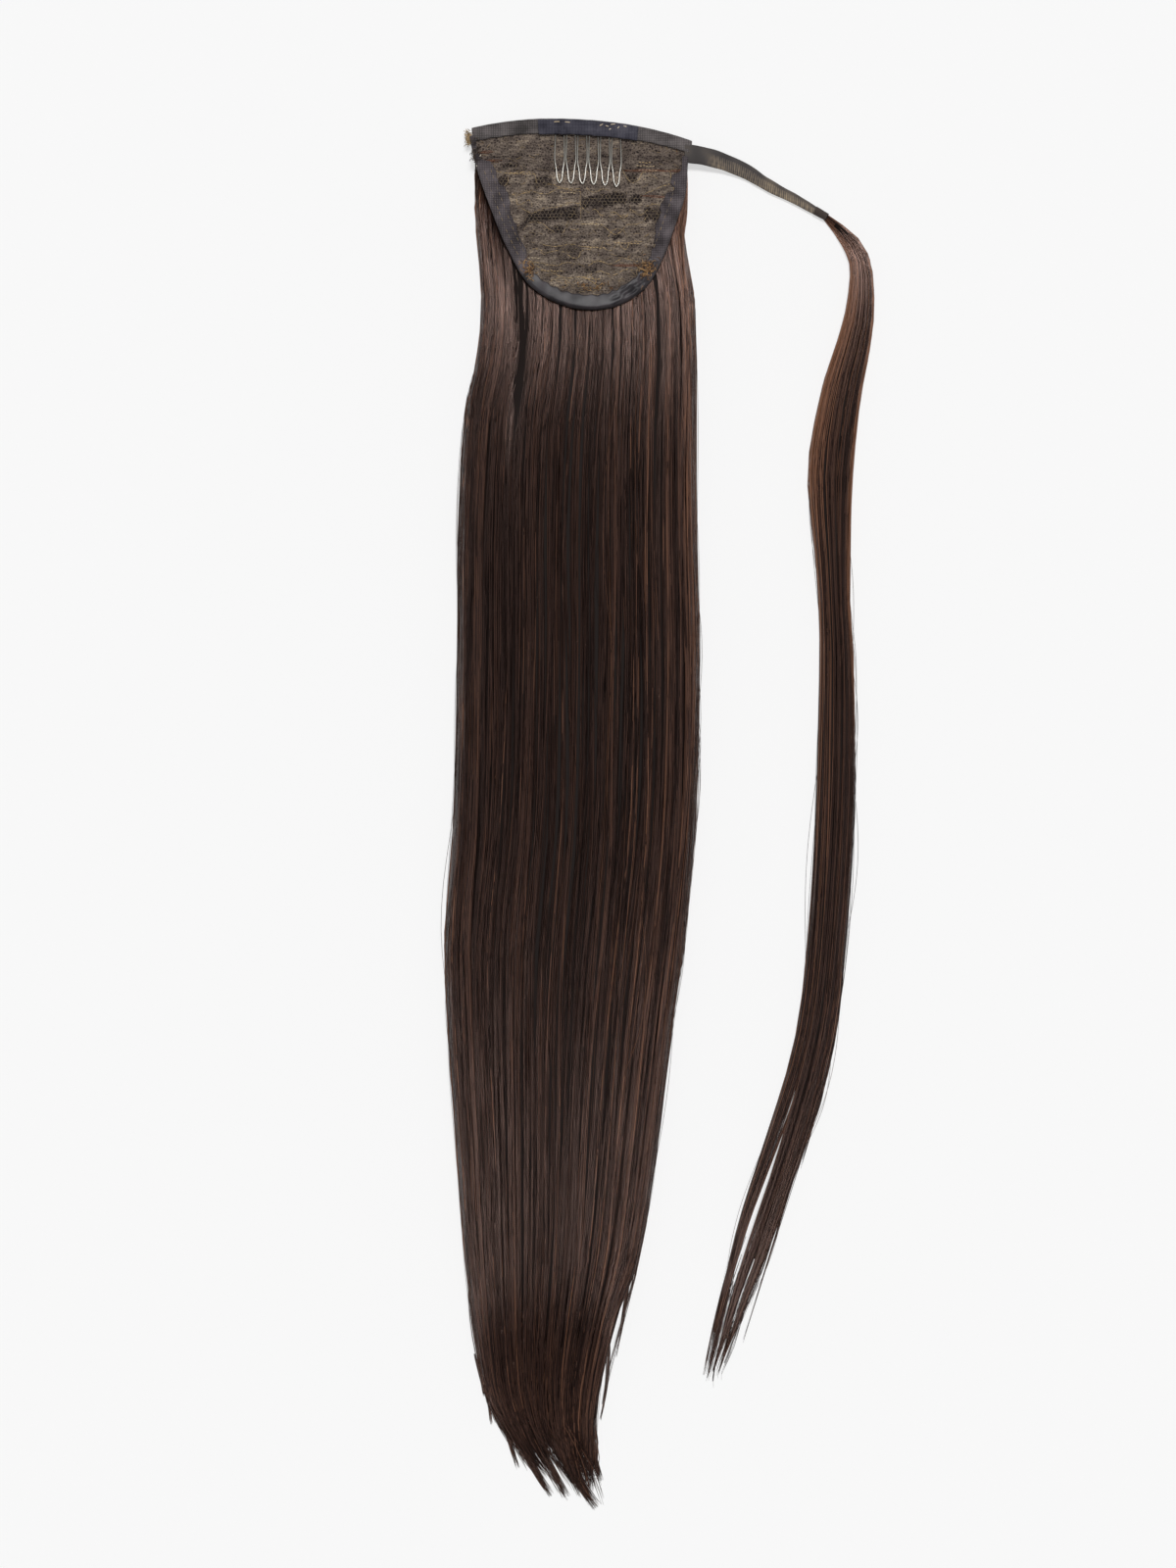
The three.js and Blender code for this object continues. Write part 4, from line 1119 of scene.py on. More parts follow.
# %% The lace's material
lace_material, tree, shader = new_material("cotton_lace", Roughness=0.9, Specular_IOR_Level=0.2)
tone = add_node(tree, "ShaderNodeAttribute", {"attribute_name": "tone"})
spot = add_node(tree, "ShaderNodeTexCoord")
thread = add_node(
    tree,
    "ShaderNodeTexVoronoi",
    {"feature": "DISTANCE_TO_EDGE"},
    {"Scale": 1 / 0.0011},
    {"Vector": spot.outputs["Object"]},
)
across_grain = add_node(
    tree,
    "ShaderNodeMapping",
    values={"Scale": (1 / 0.0028, 1 / 0.0006, 1 / 0.002)},
    links={"Vector": spot.outputs["Object"]},
)
rows = add_node(
    tree,
    "ShaderNodeTexNoise",
    values={"Scale": 1.0, "Detail": 2.0},
    links={"Vector": across_grain.outputs["Vector"]},
)
wear = add_node(
    tree,
    "ShaderNodeTexNoise",
    values={"Scale": 1 / 0.004, "Detail": 5.0},
    links={"Vector": spot.outputs["Object"]},
)
shade = tone.outputs["Fac"]
for source, gain, shift in (
    (thread.outputs["Distance"], -1.5, 0.16),
    (rows.outputs["Fac"], 0.85, -0.42),
    (wear.outputs["Fac"], 0.7, -0.35),
):
    layer = add_node(
        tree, "ShaderNodeMath", {"operation": "MULTIPLY_ADD"}, {1: gain, 2: shift}, {0: source}
    )
    both = {0: shade, 1: layer.outputs[0]}
    shade = add_node(tree, "ShaderNodeMath", {"operation": "ADD"}, links=both).outputs[0]
LACE_STOPS = [
    (0.0, "#1b1514"),
    (0.25, "#3a312d"),
    (0.55, "#5f544d"),
    (0.85, "#84776a"),
    (1.0, "#a39380"),
]
worn = add_node(tree, "ShaderNodeValToRGB", links={"Fac": shade}, stops=LACE_STOPS)
tree.links.new(worn.outputs["Color"], shader.inputs["Base Color"])
bump = add_node(
    tree, "ShaderNodeBump", values={"Strength": 0.7, "Distance": 0.0003}, links={"Height": shade}
)
tree.links.new(bump.outputs["Normal"], shader.inputs["Normal"])

# %% [markdown]
# The cloth is a closed sheet with that relief in it, toned strip by strip. It was cut as a
# wedge of 94 by 80 mm, a little larger than it looks, since it arches over the hair.

# %% The lace panel
v, u = np.meshgrid(np.linspace(0, 1, 128), np.linspace(0, 1, 110), indexing="ij")
x, y = base_point(u, v)
inner = smooth_step(np.minimum(u, 1 - u), 0.0, 0.05) * smooth_step(1 - v, 0, 0.04)
top_z = panel_top(x, y) + lace_relief(x, y) * inner
under_z = panel_top(x, y) - PANEL_WALL + 0.1
# The strips between two seams differ a little in shade, and along each seam the tone is darkened as painted
# shade in its crease.
STRIP_SHADES = np.array(
    [0.55, 0.47, 0.67, 0.6, 0.71, 0.57, 0.69, 0.55, 0.69, 0.6, 0.69, 0.56, 0.67, 0.6]
)
wavy, nearest = seam_place(x, y)
panel_tone = STRIP_SHADES[np.searchsorted(SEAMS_DOWN, wavy)] + 0.12 * ripple(x, y, 8.0, 9)
# Painted shade along each seam's crease.
panel_tone = panel_tone - 0.16 * np.exp(-((nearest / 0.5) ** 2))
panel_tone = panel_tone - 0.05 * smooth_step(x, 10, 30) * smooth_step(y, -24, -18)
panel_tone = panel_tone * (1 - net_share(x, y)) + 0.06 * net_share(x, y)
face, back = np.stack([x, y, top_z], -1), np.stack([x, y, under_z], -1)
panel = build_slab("lace_cloth", face, back, lace_material, panel_tone)
fit([panel], "lace_panel")

# %% [markdown]
# On the lace lie raised cords that outline its leaves, rows of chain stitch along the seams,
# and the fine threads of its pattern. All are thin tubes that follow the lace's face. A cord
# is given by a few of its points, in millimetres across and down, and waves between them.


# %% Threads on the lace
# Spun cotton is matt; its twist gives it a faint shine, and dye and wear its many browns.
THREAD_STOPS = [
    (0.0, "#1f1a1a"),
    (0.3, "#4a403b"),
    (0.55, "#74685c"),
    (0.75, "#9b8460"),
    (0.88, "#c0a47b"),
    (1.0, "#e9e4d8"),
]
thread_material = toned_material(
    "cotton_thread", THREAD_STOPS, Roughness=0.75, Specular_IOR_Level=0.25
)


def on_lace(x, y, lift):
    """Points a little above the lace's face."""
    return np.stack([x, y, panel_top(x, y) + lace_relief(x, y) + lift], -1)


# For each cord: how far it waves, then its points across and down.
CORDS = [
    (0.15, [(-36, 20.6), (-29, 21.8), (-19, 21.6), (-17.5, 26), (-12, 26.4), (-6, 28.6), (0, 28.4)]),
    (0.1, [(-33, 26.8), (-31.5, 27.4), (-29.5, 25.2), (-29.6, 22.6)]),
    (0.2, [(-32, 30.6), (-26.6, 31), (-25.6, 35), (-23.2, 34.4), (-21, 33.2), (-19.4, 35.6)]),
    (0.2, [(-26, 31.2), (-20, 29.6), (-14, 30.6), (-7, 27.8), (-3, 29.4), (0.4, 29.8)]),
    (0.1, [(0.2, 30.2), (0.0, 33), (0.3, 36), (0.2, 41.0)]),
    (0.15, [(2.5, 28.2), (5.5, 30.0), (9.5, 28.6), (12, 29.4)]),
    (0.1, [(17.2, 20.4), (19.6, 24.6), (21.4, 25.8), (23.8, 24.6), (25.4, 21.4)]),
    (0.15, [(25.4, 21.4), (31, 20.8), (36.4, 20.9), (37.0, 26.0)]),
    (0.2, [(26.4, 30.6), (29.6, 29.0), (33.6, 27.2), (36.6, 26.4)]),
    (0.2, [(26.2, 36.2), (30, 34.8), (34, 35.2), (39.8, 33.6)]),
    (0.2, [(0.6, 36.4), (3.6, 38.4), (6.2, 37.2), (8.6, 39.6), (13.6, 38.2), (17.8, 40.8), (20.6, 37.0)]),
    (0.25, [(20.6, 37.0), (24.4, 39.4), (27.6, 37.2)]),
    (0.2, [(-24, 36.6), (-19.6, 38.6), (-15, 36.6), (-9, 36.0), (-4.6, 34.4), (0, 34.6)]),
    (0.3, [(-23, 45.8), (-20.6, 42.8), (-16.4, 42.6), (-12.4, 45.4), (-10.2, 47.2)]),
    (0.2, [(-7.2, 47.2), (-4.6, 43.8), (0.6, 43.4), (8.8, 43.6), (11.4, 45.8), (14.6, 47.6), (19.4, 43.4)]),
    (0.2, [(19.4, 43.4), (24.6, 42.8), (27.6, 39.6)]),
    (0.25, [(11.2, 48.8), (13.4, 45.8), (17.0, 45.6), (19.2, 48.4)]),
    (0.2, [(-16.6, 51.4), (-10, 52.6), (-4, 51.6), (1.6, 52.8), (8.6, 52.8), (12.2, 54.4), (15.2, 51.2)]),
    (0.25, [(15.2, 51.2), (18.6, 53.8), (20.4, 50.8), (26.0, 50.6)]),
    (0.3, [(-21, 55.0), (-18, 53.6), (-14, 55.0), (-8, 54.6), (-1.4, 57.6), (1.2, 54.2), (4.6, 53.8)]),
    (0.25, [(-20, 58.8), (-15, 59.6), (-9.4, 60.6), (-5.6, 59.2), (0, 60.4)]),
    (0.2, [(-20.8, 58.4), (-16, 61.6), (-10.6, 64.0), (-6, 65.6), (1.4, 65.4), (4.4, 66.8), (8.6, 70.4)]),
    (0.2, [(2.4, 65.0), (8.0, 63.0), (13.6, 64.4), (18.2, 62.2), (22.8, 62.4), (27.6, 61.0)]),
    (0.2, [(-12.0, 66.6), (-7.6, 65.8), (-2.6, 68.8), (3.4, 69.6)]),
    (0.2, [(3.4, 60.6), (7.4, 58.6), (12.4, 59.8), (17.6, 57.6), (23.6, 58.8)]),
]


def cord_paths(stations=56):
    """A smooth wavering line on the lace through each cord's points."""
    paths = []
    for i, (wave, points) in enumerate(CORDS):
        corners = np.array(points, dtype=float)
        run = np.concatenate([[0], np.cumsum(np.hypot(*np.diff(corners, axis=0).T))])
        table = {"run": run, "x": corners[:, 0], "down": corners[:, 1]}
        fine = np.linspace(0, run[-1], stations)
        x = read_table(table, "x", fine) + 0.5 * wave * ripple(fine, fine * 0, 2.6, 60 + i)
        y = -read_table(table, "down", fine) + wave * ripple(fine, fine * 0, 2.2, 90 + i)
        paths.append(on_lace(x, y, 0.1))
    return np.array(paths)


cord_lines = cord_paths()
spots = np.random.default_rng(44).uniform(0.5, 0.9, cord_lines.shape[:2])
thickness = 0.13 + 0.05 * np.sin(np.arange(cord_lines.shape[1]) * 1.9)
lace_cords = build_tubes("lace_cords", cord_lines, thickness, 5, thread_material, spots)

# %% [markdown]
# Rows of chain stitch join the strips. Between the cords the leaves are filled with short
# fine threads, scattered at random and left out where the net shows.

# %% Chain stitch and the pattern's threads
STITCH_ROWS = {
    "down": [18.6, 20.4, 21.8, 39.8, 43.4, 45.6, 53.0, 51.0, 57.2, 62.6, 17.2, 30.0, 66.0],
    "start": [23.0, 24.0, -28.6, 16.0, 1.8, -4.0, 2.6, 14.0, -22.6, -16.0, 24.0, -8.0, 2.0],
    "end": [30.0, 31.0, -18.6, 19.4, 7.6, -1.0, 9.8, 23.6, -17.0, -8.0, 28.6, -2.0, 8.0],
    "tone": [0.9, 0.9, 0.82, 0.8, 0.92, 0.8, 0.88, 0.88, 0.92, 0.84, 0.88, 0.9, 0.84],
}


def stitches():
    """The arched loops of each row of chain stitch, one every 1.3 mm, and their tones."""
    paths, tones = [], []
    for down, start, end, shade in zip(*STITCH_ROWS.values()):
        for x0 in np.arange(start, end, 1.3):
            x = x0 + np.linspace(0, 0.85, 5)
            y = -down - 0.04 * (x - start) + 0.14 * np.sin(x0 * 3)
            arch = 0.12 * np.sin(np.linspace(0, np.pi, 5))
            paths.append(on_lace(x, y, 0.12) + np.stack([0 * x, 0 * x, arch], -1))
            tones.append(shade)
    return np.array(paths), np.array(tones)


def pattern_threads(count, seed):
    """Short curved threads of the lace's leaves, mostly running across."""
    pick = np.random.default_rng(seed)
    u, v = pick.uniform(0.02, 0.98, count), pick.uniform(0.06, 0.97, count)
    x0, y0 = base_point(u, v)
    heading = pick.normal(0, 0.5, count)
    length = pick.uniform(0.9, 3.2, count)
    bend = pick.normal(0, 0.7, count)
    s = np.linspace(-0.5, 0.5, 5)
    along = length[:, None] * s
    off = bend[:, None] * (0.25 - s**2) * length[:, None] * 0.5
    x = x0[:, None] + np.cos(heading)[:, None] * along - np.sin(heading)[:, None] * off
    y = y0[:, None] + np.sin(heading)[:, None] * along + np.cos(heading)[:, None] * off
    keep = (net_share(x, y).max(1) < 0.3) & (np.abs(x).max(1) < 43)
    shade = 0.3 + 0.36 * pick.beta(2, 3, count) + 0.25 * (pick.random(count) < 0.12)
    return on_lace(x, y, 0.03)[keep], shade[keep]


stitch_paths, stitch_tones = stitches()
chain = build_tubes("chain_stitch", stitch_paths, 0.15, 5, thread_material, stitch_tones)
pattern_paths, pattern_tones = pattern_threads(2900, 41)
pattern = build_tubes("lace_pattern", pattern_paths, 0.11, 3, thread_material, pattern_tones)

# %% [markdown]
# The net in the holes is a honeycomb of single threads. Its cells are worked out for the whole
# base and only the threads that lie in a hole are kept.


# %% The net
def net_threads(cell):
    """The three threads of each cell of a honeycomb, where the net shows."""
    rows, columns = int(70 / (cell * 1.5)), int(84 / (cell * 3**0.5))
    j, i = np.meshgrid(np.arange(rows), np.arange(columns), indexing="ij")
    cx = -42 + (i + 0.5 * (j % 2)) * cell * 3**0.5
    cy = -8 - j * cell * 1.5
    corners = []
    for turn in (30, 90, 150, 210):
        a = math.radians(turn)
        corner = np.stack([cx + cell * math.cos(a), cy + cell * math.sin(a)], -1)
        corners.append(corner.reshape(-1, 2))
    threads = np.concatenate([np.stack([corners[k], corners[k + 1]], 1) for k in range(3)])
    middle = threads.mean(1)
    shown = net_share(middle[:, 0], middle[:, 1]) > 0.3
    shown = shown & (np.random.default_rng(79).random(len(threads)) > 0.1)
    threads = threads[shown]
    x, y = threads[..., 0], threads[..., 1]
    return on_lace(x + 0.16 * ripple(x, y, 4.0, 77), y + 0.16 * ripple(x, y, 3.4, 78), 0.12)


net_paths = net_threads(0.88)
net_tones = np.random.default_rng(80).uniform(0.42, 0.64, len(net_paths))
net = build_tubes("net_threads", net_paths, 0.2, 3, thread_material, net_tones)
fit([lace_cords, chain, pattern, net])

# %% [markdown]
# Tapes bind the base's edges. They are woven ribbon, a little fuzzy and unevenly sewn, so
# their faces ripple and their edges wander. Spun cotton scatters light all ways, so they
# are matt. The weave is in the material: ribbon of this kind has a thread every 0.4 mm,
# drawn at 0.7 mm so that it shows.


# %% Woven cloth materials
def woven_cloth(name, stops, thread_mm):
    """Plain weave: two crossed sets of soft ridges, and stains that cloud its colour."""
    material, tree, shader = new_material(name, Roughness=0.85, Specular_IOR_Level=0.25)
    spot = add_node(tree, "ShaderNodeTexCoord")
    waves = [
        add_node(
            tree,
            "ShaderNodeTexWave",
            {"bands_direction": direction},
            {"Scale": 0.314 / (thread_mm * MM), "Distortion": 1.2, "Detail": 1.0},
            {"Vector": spot.outputs["Object"]},
        )
        for direction in ("X", "Y")
    ]
    weave = add_node(
        tree,
        "ShaderNodeMath",
        {"operation": "MULTIPLY"},
        links={0: waves[0].outputs["Fac"], 1: waves[1].outputs["Fac"]},
    )
    stain = add_node(
        tree,
        "ShaderNodeTexNoise",
        values={"Scale": 1 / 0.006, "Detail": 5.0},
        links={"Vector": spot.outputs["Object"]},
    )
    blend = add_node(
        tree,
        "ShaderNodeMath",
        {"operation": "MULTIPLY_ADD"},
        {1: 0.45},
        {0: weave.outputs[0], 2: stain.outputs["Fac"]},
    )
    dyed = add_node(tree, "ShaderNodeValToRGB", links={"Fac": blend.outputs[0]}, stops=stops)
    tree.links.new(dyed.outputs["Color"], shader.inputs["Base Color"])
    bump = add_node(
        tree,
        "ShaderNodeBump",
        values={"Strength": 0.6, "Distance": 0.00025},
        links={"Height": weave.outputs[0]},
    )
    tree.links.new(bump.outputs["Normal"], shader.inputs["Normal"])
    return material


TAPE_STOPS = [(0.36, "#292425"), (0.62, "#464043"), (0.86, "#6e6668")]
HEADER_STOPS = [(0.36, "#302d2c"), (0.62, "#504b4b"), (0.86, "#787170")]
COVER_STOPS = [(0.36, "#22212a"), (0.62, "#393843"), (0.86, "#5a5860")]
tape_material = woven_cloth("cotton_binding_tape", TAPE_STOPS, 0.7)
header_material = woven_cloth("cotton_header_tape", HEADER_STOPS, 0.7)
cover_material = woven_cloth("navy_cotton_cloth", COVER_STOPS, 0.6)

# %% [markdown]
# The header tape runs along the arched top edge, and a strip of dark cloth holds the comb's
# bar on it. Both are strips across the base, so one function makes them.


# %% Header tape and comb cover
def cloth_on_base(name, start, end, upper, lower, lift, wall, material, seed, seam=None):
    """A strip of cloth between two shares across the base and two distances down it."""
    depth = LOWEST_ROW * PANEL_LENGTH
    v, u = np.meshgrid(np.linspace(0, 1, 16), np.linspace(start, end, 110), indexing="ij")
    ragged = 0.16 * ripple(u * PANEL_WIDTH, u * 0, 5.0, seed) * np.where(v > 0.5, 1.0, 0.35)
    x, y = base_point(u, (upper + (lower - upper) * v + ragged) / depth)
    from_ends = np.minimum(u - start, end - u) * PANEL_WIDTH
    edge = np.minimum(np.minimum(v, 1 - v) * (lower - upper), from_ends)
    soft = smooth_step(edge, -0.3, 0.7)
    face = panel_top(x, y) + lift
    top = face + wall * (0.45 + 0.55 * soft) + 0.13 * ripple(x, y, 6.0, seed + 1) * soft
    if seam is not None:
        top = top - 0.35 * np.exp(-(((v - seam) / 0.07) ** 2))
    return build_slab(name, np.stack([x, y, top], -1), np.stack([x, y, face], -1), material)


HEADER_LAP = 1.2
header = cloth_on_base(
    "header_cloth", 0.0, 1.02, -HEADER_LAP, HEADER_WIDTH, REST_GAP, TAPE_WALL, header_material, 51
)
fit([header], "header_tape")

# The comb sits a little to the right, and its cover starts just past the base's top edge.
COMB_OFFSET = 3.4
COVER_FROM = -0.8
COVER_WIDTH = 6.2
COVER_LENGTH = 41.0
cover_middle = 0.5 + COMB_OFFSET / PANEL_WIDTH
cover_half = COVER_LENGTH / 2 / PANEL_WIDTH
cover = cloth_on_base(
    "comb_cover_cloth",
    cover_middle - cover_half,
    cover_middle + cover_half,
    COVER_FROM,
    COVER_FROM + COVER_WIDTH,
    REST_GAP + TAPE_WALL + REST_GAP,
    TAPE_WALL,
    cover_material,
    53,
    seam=0.4,
)
fit([cover], "comb_cover")

# %% [markdown]
# The bindings are folded over the base's edge. Each is worked out across its width: up from
# the fold outside, over the edge and in to where the lace laps over it.


# %% Side tapes and the rim
def rim_cloth(name, start, end, width, crown_mm, material, seed, creases=None, steps=120):
    """A folded tape along the base's edge, from its lower fold outside to its inner edge."""
    share = np.linspace(start, end, steps)
    point, inward = edge_at(share)
    across = np.linspace(0, 1, 22)[None, :]
    run = share[:, None] * 200
    width = read_table(width, "wide", share)[:, None]
    wide = width + 0.4 * ripple(run, run * 0, 5.0, seed)
    a = -TAPE_OVERHANG + (wide + TAPE_OVERHANG) * across
    x = point[:, :1] + inward[:, :1] * a
    y = point[:, 1:] + inward[:, 1:] * a
    seat = panel_top(x, y) + REST_GAP
    low = panel_top(x, y) - PANEL_WALL + REST_GAP
    fold = np.sin(np.clip(across / 0.22, 0, 1) * np.pi / 2)
    plump = crown_mm * np.sin(np.clip(across, 0, 1) * np.pi) ** 0.8
    top = low + (seat + TAPE_WALL - low) * fold**0.5 + plump - TAPE_WALL * 0.35 * (across > 0.97)
    uneven = 0.13 * ripple(x, y, 8.0, seed + 1)
    if creases is not None:
        from_share, to_share, size = creases
        where = smooth_step(share, from_share, from_share + 0.05)
        where = where * (1 - smooth_step(share, to_share - 0.05, to_share))
        crease = ripple(0.6 * run, a, 2.8, seed + 2) * np.sin(np.clip(across, 0, 1) * np.pi)
        uneven = uneven + size * where[:, None] * crease
    top = top + uneven * fold
    bottom = np.where(a < -0.5, low, seat)
    bottom = low + (bottom - low) * smooth_step(a, -0.9, 0.1)
    top = np.maximum(top, bottom + 0.15)
    return build_slab(name, np.stack([x, y, top], -1), np.stack([x, y, bottom], -1), material)


# The rim is satin ribbon: its long floats of thread give a soft sheen, and handling dulls it.
satin_material, tree, shader = new_material(
    "satin_ribbon", Roughness=0.44, Specular_IOR_Level=0.31, Sheen_Weight=0.06
)
spot = add_node(tree, "ShaderNodeTexCoord")
mottle = add_node(
    tree,
    "ShaderNodeTexNoise",
    values={"Scale": 1 / 0.005, "Detail": 4.0},
    links={"Vector": spot.outputs["Object"]},
)
SATIN_STOPS = [(0.34, "#262326"), (0.6, "#3d383b"), (0.85, "#565053")]
dyed = add_node(
    tree, "ShaderNodeValToRGB", links={"Fac": mottle.outputs["Fac"]}, stops=SATIN_STOPS
)
tree.links.new(dyed.outputs["Color"], shader.inputs["Base Color"])

RIM_START, RIM_END = 0.352, 0.715
RIM_WIDTH = {"at": [0.35, 0.42, 0.52, 0.62, 0.72], "wide": [3.0, 3.6, 4.4, 4.8, 3.6]}
# The lace's strips lap over the bindings' inner edges, so the widths that show change in steps.
LEFT_WIDTH = {
    "at": [0.0, 0.07, 0.082, 0.14, 0.15, 0.19, 0.205, 0.245, 0.26, 0.3, 0.34],
    "wide": [0.8, 1.2, 4.8, 5.6, 7.0, 6.6, 5.4, 5.8, 4.8, 5.0, 3.8],
}
RIGHT_WIDTH = {
    "at": [0.72, 0.77, 0.785, 0.82, 0.83, 0.87, 0.88, 0.89, 0.9, 0.92, 0.93, 0.97],
    "wide": [3.6, 4.8, 6.0, 5.6, 6.8, 6.2, 3.6, 3.8, 5.0, 4.8, 1.4, 1.0],
}
LAP = 0.004
SATIN_CREASES = (0.56, 0.74, 0.6)
left_binding = rim_cloth(
    "left_tape_cloth", 0.012, RIM_START + LAP, LEFT_WIDTH, 0.0, tape_material, 61
)
right_binding = rim_cloth(
    "right_tape_cloth", RIM_END - LAP, 0.965, RIGHT_WIDTH, 0.0, tape_material, 63
)
rim = rim_cloth(
    "rim_satin", RIM_START, RIM_END, RIM_WIDTH, 0.2, satin_material, 65, SATIN_CREASES
)
fit([left_binding], "left_tape")
fit([right_binding], "right_tape")
fit([rim], "rim_tape")

# %% [markdown]
# The comb is one spring-steel wire, bent to and fro and polished by its drawing die. Each
# loop starts wide, is pinched at two thirds of its length and ends in a narrow bow.

# %% The wire comb
COMB_LOOPS = 6
COMB_PITCH = 4.7
COMB_LENGTH = 21.7
WIRE_DIAMETER = 0.75
COMB_BELLY = 2.2
COMB_TIP_LIFT = 1.1
# The comb's bar lies in the header's lower edge, and is drawn finer than its solid.
COMB_TOP = HEADER_WIDTH - WIRE_DIAMETER / 2
DRAWN_WIRE = 0.72 * WIRE_DIAMETER
BAR_LIFT = REST_GAP + TAPE_WALL - WIRE_DIAMETER / 2
TOOTH = {
    "p": [0, 0.1, 0.3, 0.56, 0.74, 0.92],
    "half": [0.37, 0.38, 0.41, 0.42, 0.29, 0.2],
    "lift": [0, 0, 0.7, 1, 0.85, 0.35],
}
# Drawn steel mirrors its surroundings, blurred by the fine lines that the die leaves.
wire_material, tree, shader = new_material("bright_spring_steel", Metallic=1.0, Roughness=0.36)
shader.inputs["Base Color"].default_value = linear("#c2bfb8")


def comb_point(across, p, lift):
    """A point at a distance across the comb and a share p of its length down."""
    u = 0.5 + (COMB_OFFSET + across) / PANEL_WIDTH
    x, y = base_point(u, np.full(np.shape(u), COMB_TOP / (LOWEST_ROW * PANEL_LENGTH)))
    y = y - p * COMB_LENGTH
    return np.stack([x, y, panel_top(x, y) + lift], -1)


def comb_teeth():
    """The middle line of each loop, down one side and up the other."""
    p = np.array(TOOTH["p"])
    half = np.array(TOOTH["half"]) * COMB_PITCH
    lift = BAR_LIFT + (COMB_BELLY - BAR_LIFT) * np.array(TOOTH["lift"])
    teeth = []
    for loop in range(COMB_LOOPS):
        middle = (loop - (COMB_LOOPS - 1) / 2) * COMB_PITCH
        side = comb_point(middle - half, p, lift)
        other = comb_point(middle + half, p, lift)[::-1]
        tip = comb_point(np.array([middle]), 1.0, COMB_TIP_LIFT)
        corners = np.concatenate([side, tip, other])
        run = np.concatenate([[0], np.cumsum(np.linalg.norm(np.diff(corners, axis=0), axis=1))])
        table = {"run": run, "x": corners[:, 0], "y": corners[:, 1], "z": corners[:, 2]}
        fine = np.linspace(0, run[-1], 60)
        teeth.append(np.stack([read_table(table, c, fine) for c in "xyz"], -1))
    return np.array(teeth)


teeth = comb_teeth()
reach = COMB_LOOPS / 2 * COMB_PITCH
bar = comb_point(np.linspace(-reach, reach, 60), 0.0, BAR_LIFT)[None]
comb_lines = np.concatenate([teeth, bar])
comb = build_tubes("comb_wire_bright", comb_lines, DRAWN_WIRE / 2, 10, wire_material)
fit([comb], "comb_wire")

# %% [markdown]
# The strap is a folded strip of corded cloth that tapers to a thin end. Across it run raised
# threads of a lighter brown, and one edge is a smooth dark fold.

# %% The strap
# Corded cotton is matt, so its ridges show by their shade and not by a shine.
STRAP_STOPS = [(0.0, "#242122"), (0.35, "#474342"), (0.62, "#6a6056"), (1.0, "#a19079")]
strap_material = toned_material(
    "corded_cotton", STRAP_STOPS, Roughness=0.85, Specular_IOR_Level=0.25
)


def strap_cloth():
    """The strap's rings from the base to its end, and a tone for each of their points."""
    along = np.linspace(-0.035, 1.02, 340)
    turn = np.linspace(0, 2 * np.pi, 32, endpoint=False)
    point, left = strap_line(np.clip(along, 0, 1))
    beyond = along - np.clip(along, 0, 1)
    ahead = np.stack([left[:, 1], -left[:, 0]], -1)
    point = point + ahead * (beyond * STRAP_LENGTH)[:, None]
    start = np.clip(along / 0.04, 0, 1)[:, None]
    left = unit(start * left + (1 - start) * np.array([0.0, 1.0]))
    half = read_table(STRAP, "wide", along) * STRAP_WIDTH / 2
    half = half + 0.12 * ripple(along * 51, along * 0, 9.0, 71)
    a = rounded(turn, 2.5)
    h = np.sign(np.sin(turn)) * np.abs(np.sin(turn)) ** 0.75
    run = along[:, None] * STRAP_LENGTH
    corded = smooth_step(-a[None, :], -0.45, -0.2) * smooth_step(along, 0.12, 0.2)[:, None]
    cord_wave = np.sin(2 * np.pi * (run + 0.9 * a[None, :]) / 0.85)
    landing = np.clip(1 - along / STRAP_LANDING, 0, 1)
    root_x, root_y = STRAP_ROOT
    root_low = panel_top(root_x, root_y) - PANEL_WALL
    low = root_low * smooth_step(landing, 0, 1)
    middle = low + STRAP_HEIGHT / 2
    thick = STRAP_HEIGHT / 2 - 0.1 + 0.1 * cord_wave * corded
    thick = thick * (0.75 + 0.25 * (1 - along))[:, None]
    offset = half[:, None] * a[None, :]
    xy = point[:, None] + left[:, None] * offset[..., None]
    z = middle[:, None] + thick * h[None, :] + 0.1 * ripple(xy[..., 0], xy[..., 1], 6.0, 73)
    z = np.maximum(z, 0.05)
    shade = 0.34 + 0.1 * ripple(xy[..., 0], xy[..., 1], 8.0, 74)
    fleck = 0.14 * ripple(xy[..., 0], xy[..., 1], 1.6, 75)
    shade = shade + corded * (0.2 + 0.2 * cord_wave + fleck)
    shade = shade + 0.14 * smooth_step(along, 0.4, 0.75)[:, None]
    return np.concatenate([xy, z[..., None]], -1), np.clip(shade, 0, 1)


strap_sections, strap_tones = strap_cloth()
strap = closed_rings("strap_cloth", strap_sections, strap_material, strap_tones)
fit([strap], "strap")

# %% [markdown]
# Sewing thread is wound round the strap's end and the root of the strand, and under it lies
# the end of the strap itself.

# %% The whipping
WHIPPING_WIDTH = 3.7
WHIPPING_HEIGHT = 3.2


def whipping_coil(turns):
    """One thread wound round the end of the strap."""
    share = np.linspace(0, 1, turns * 26)
    angle = share * turns * 2 * np.pi
    run = REST_GAP + 0.3 + share * (WHIPPING_LENGTH - 0.6)
    side = np.cos(angle) * (WHIPPING_WIDTH / 2 - 0.3) * (1 - 0.12 * share)
    xy = strap_end + run[:, None] * whipping_ahead + side[:, None] * whipping_left
    z = WHIPPING_HEIGHT / 2 + np.sin(angle) * (WHIPPING_HEIGHT / 2 - 0.3)
    return np.concatenate([xy, z[:, None]], -1)[None]


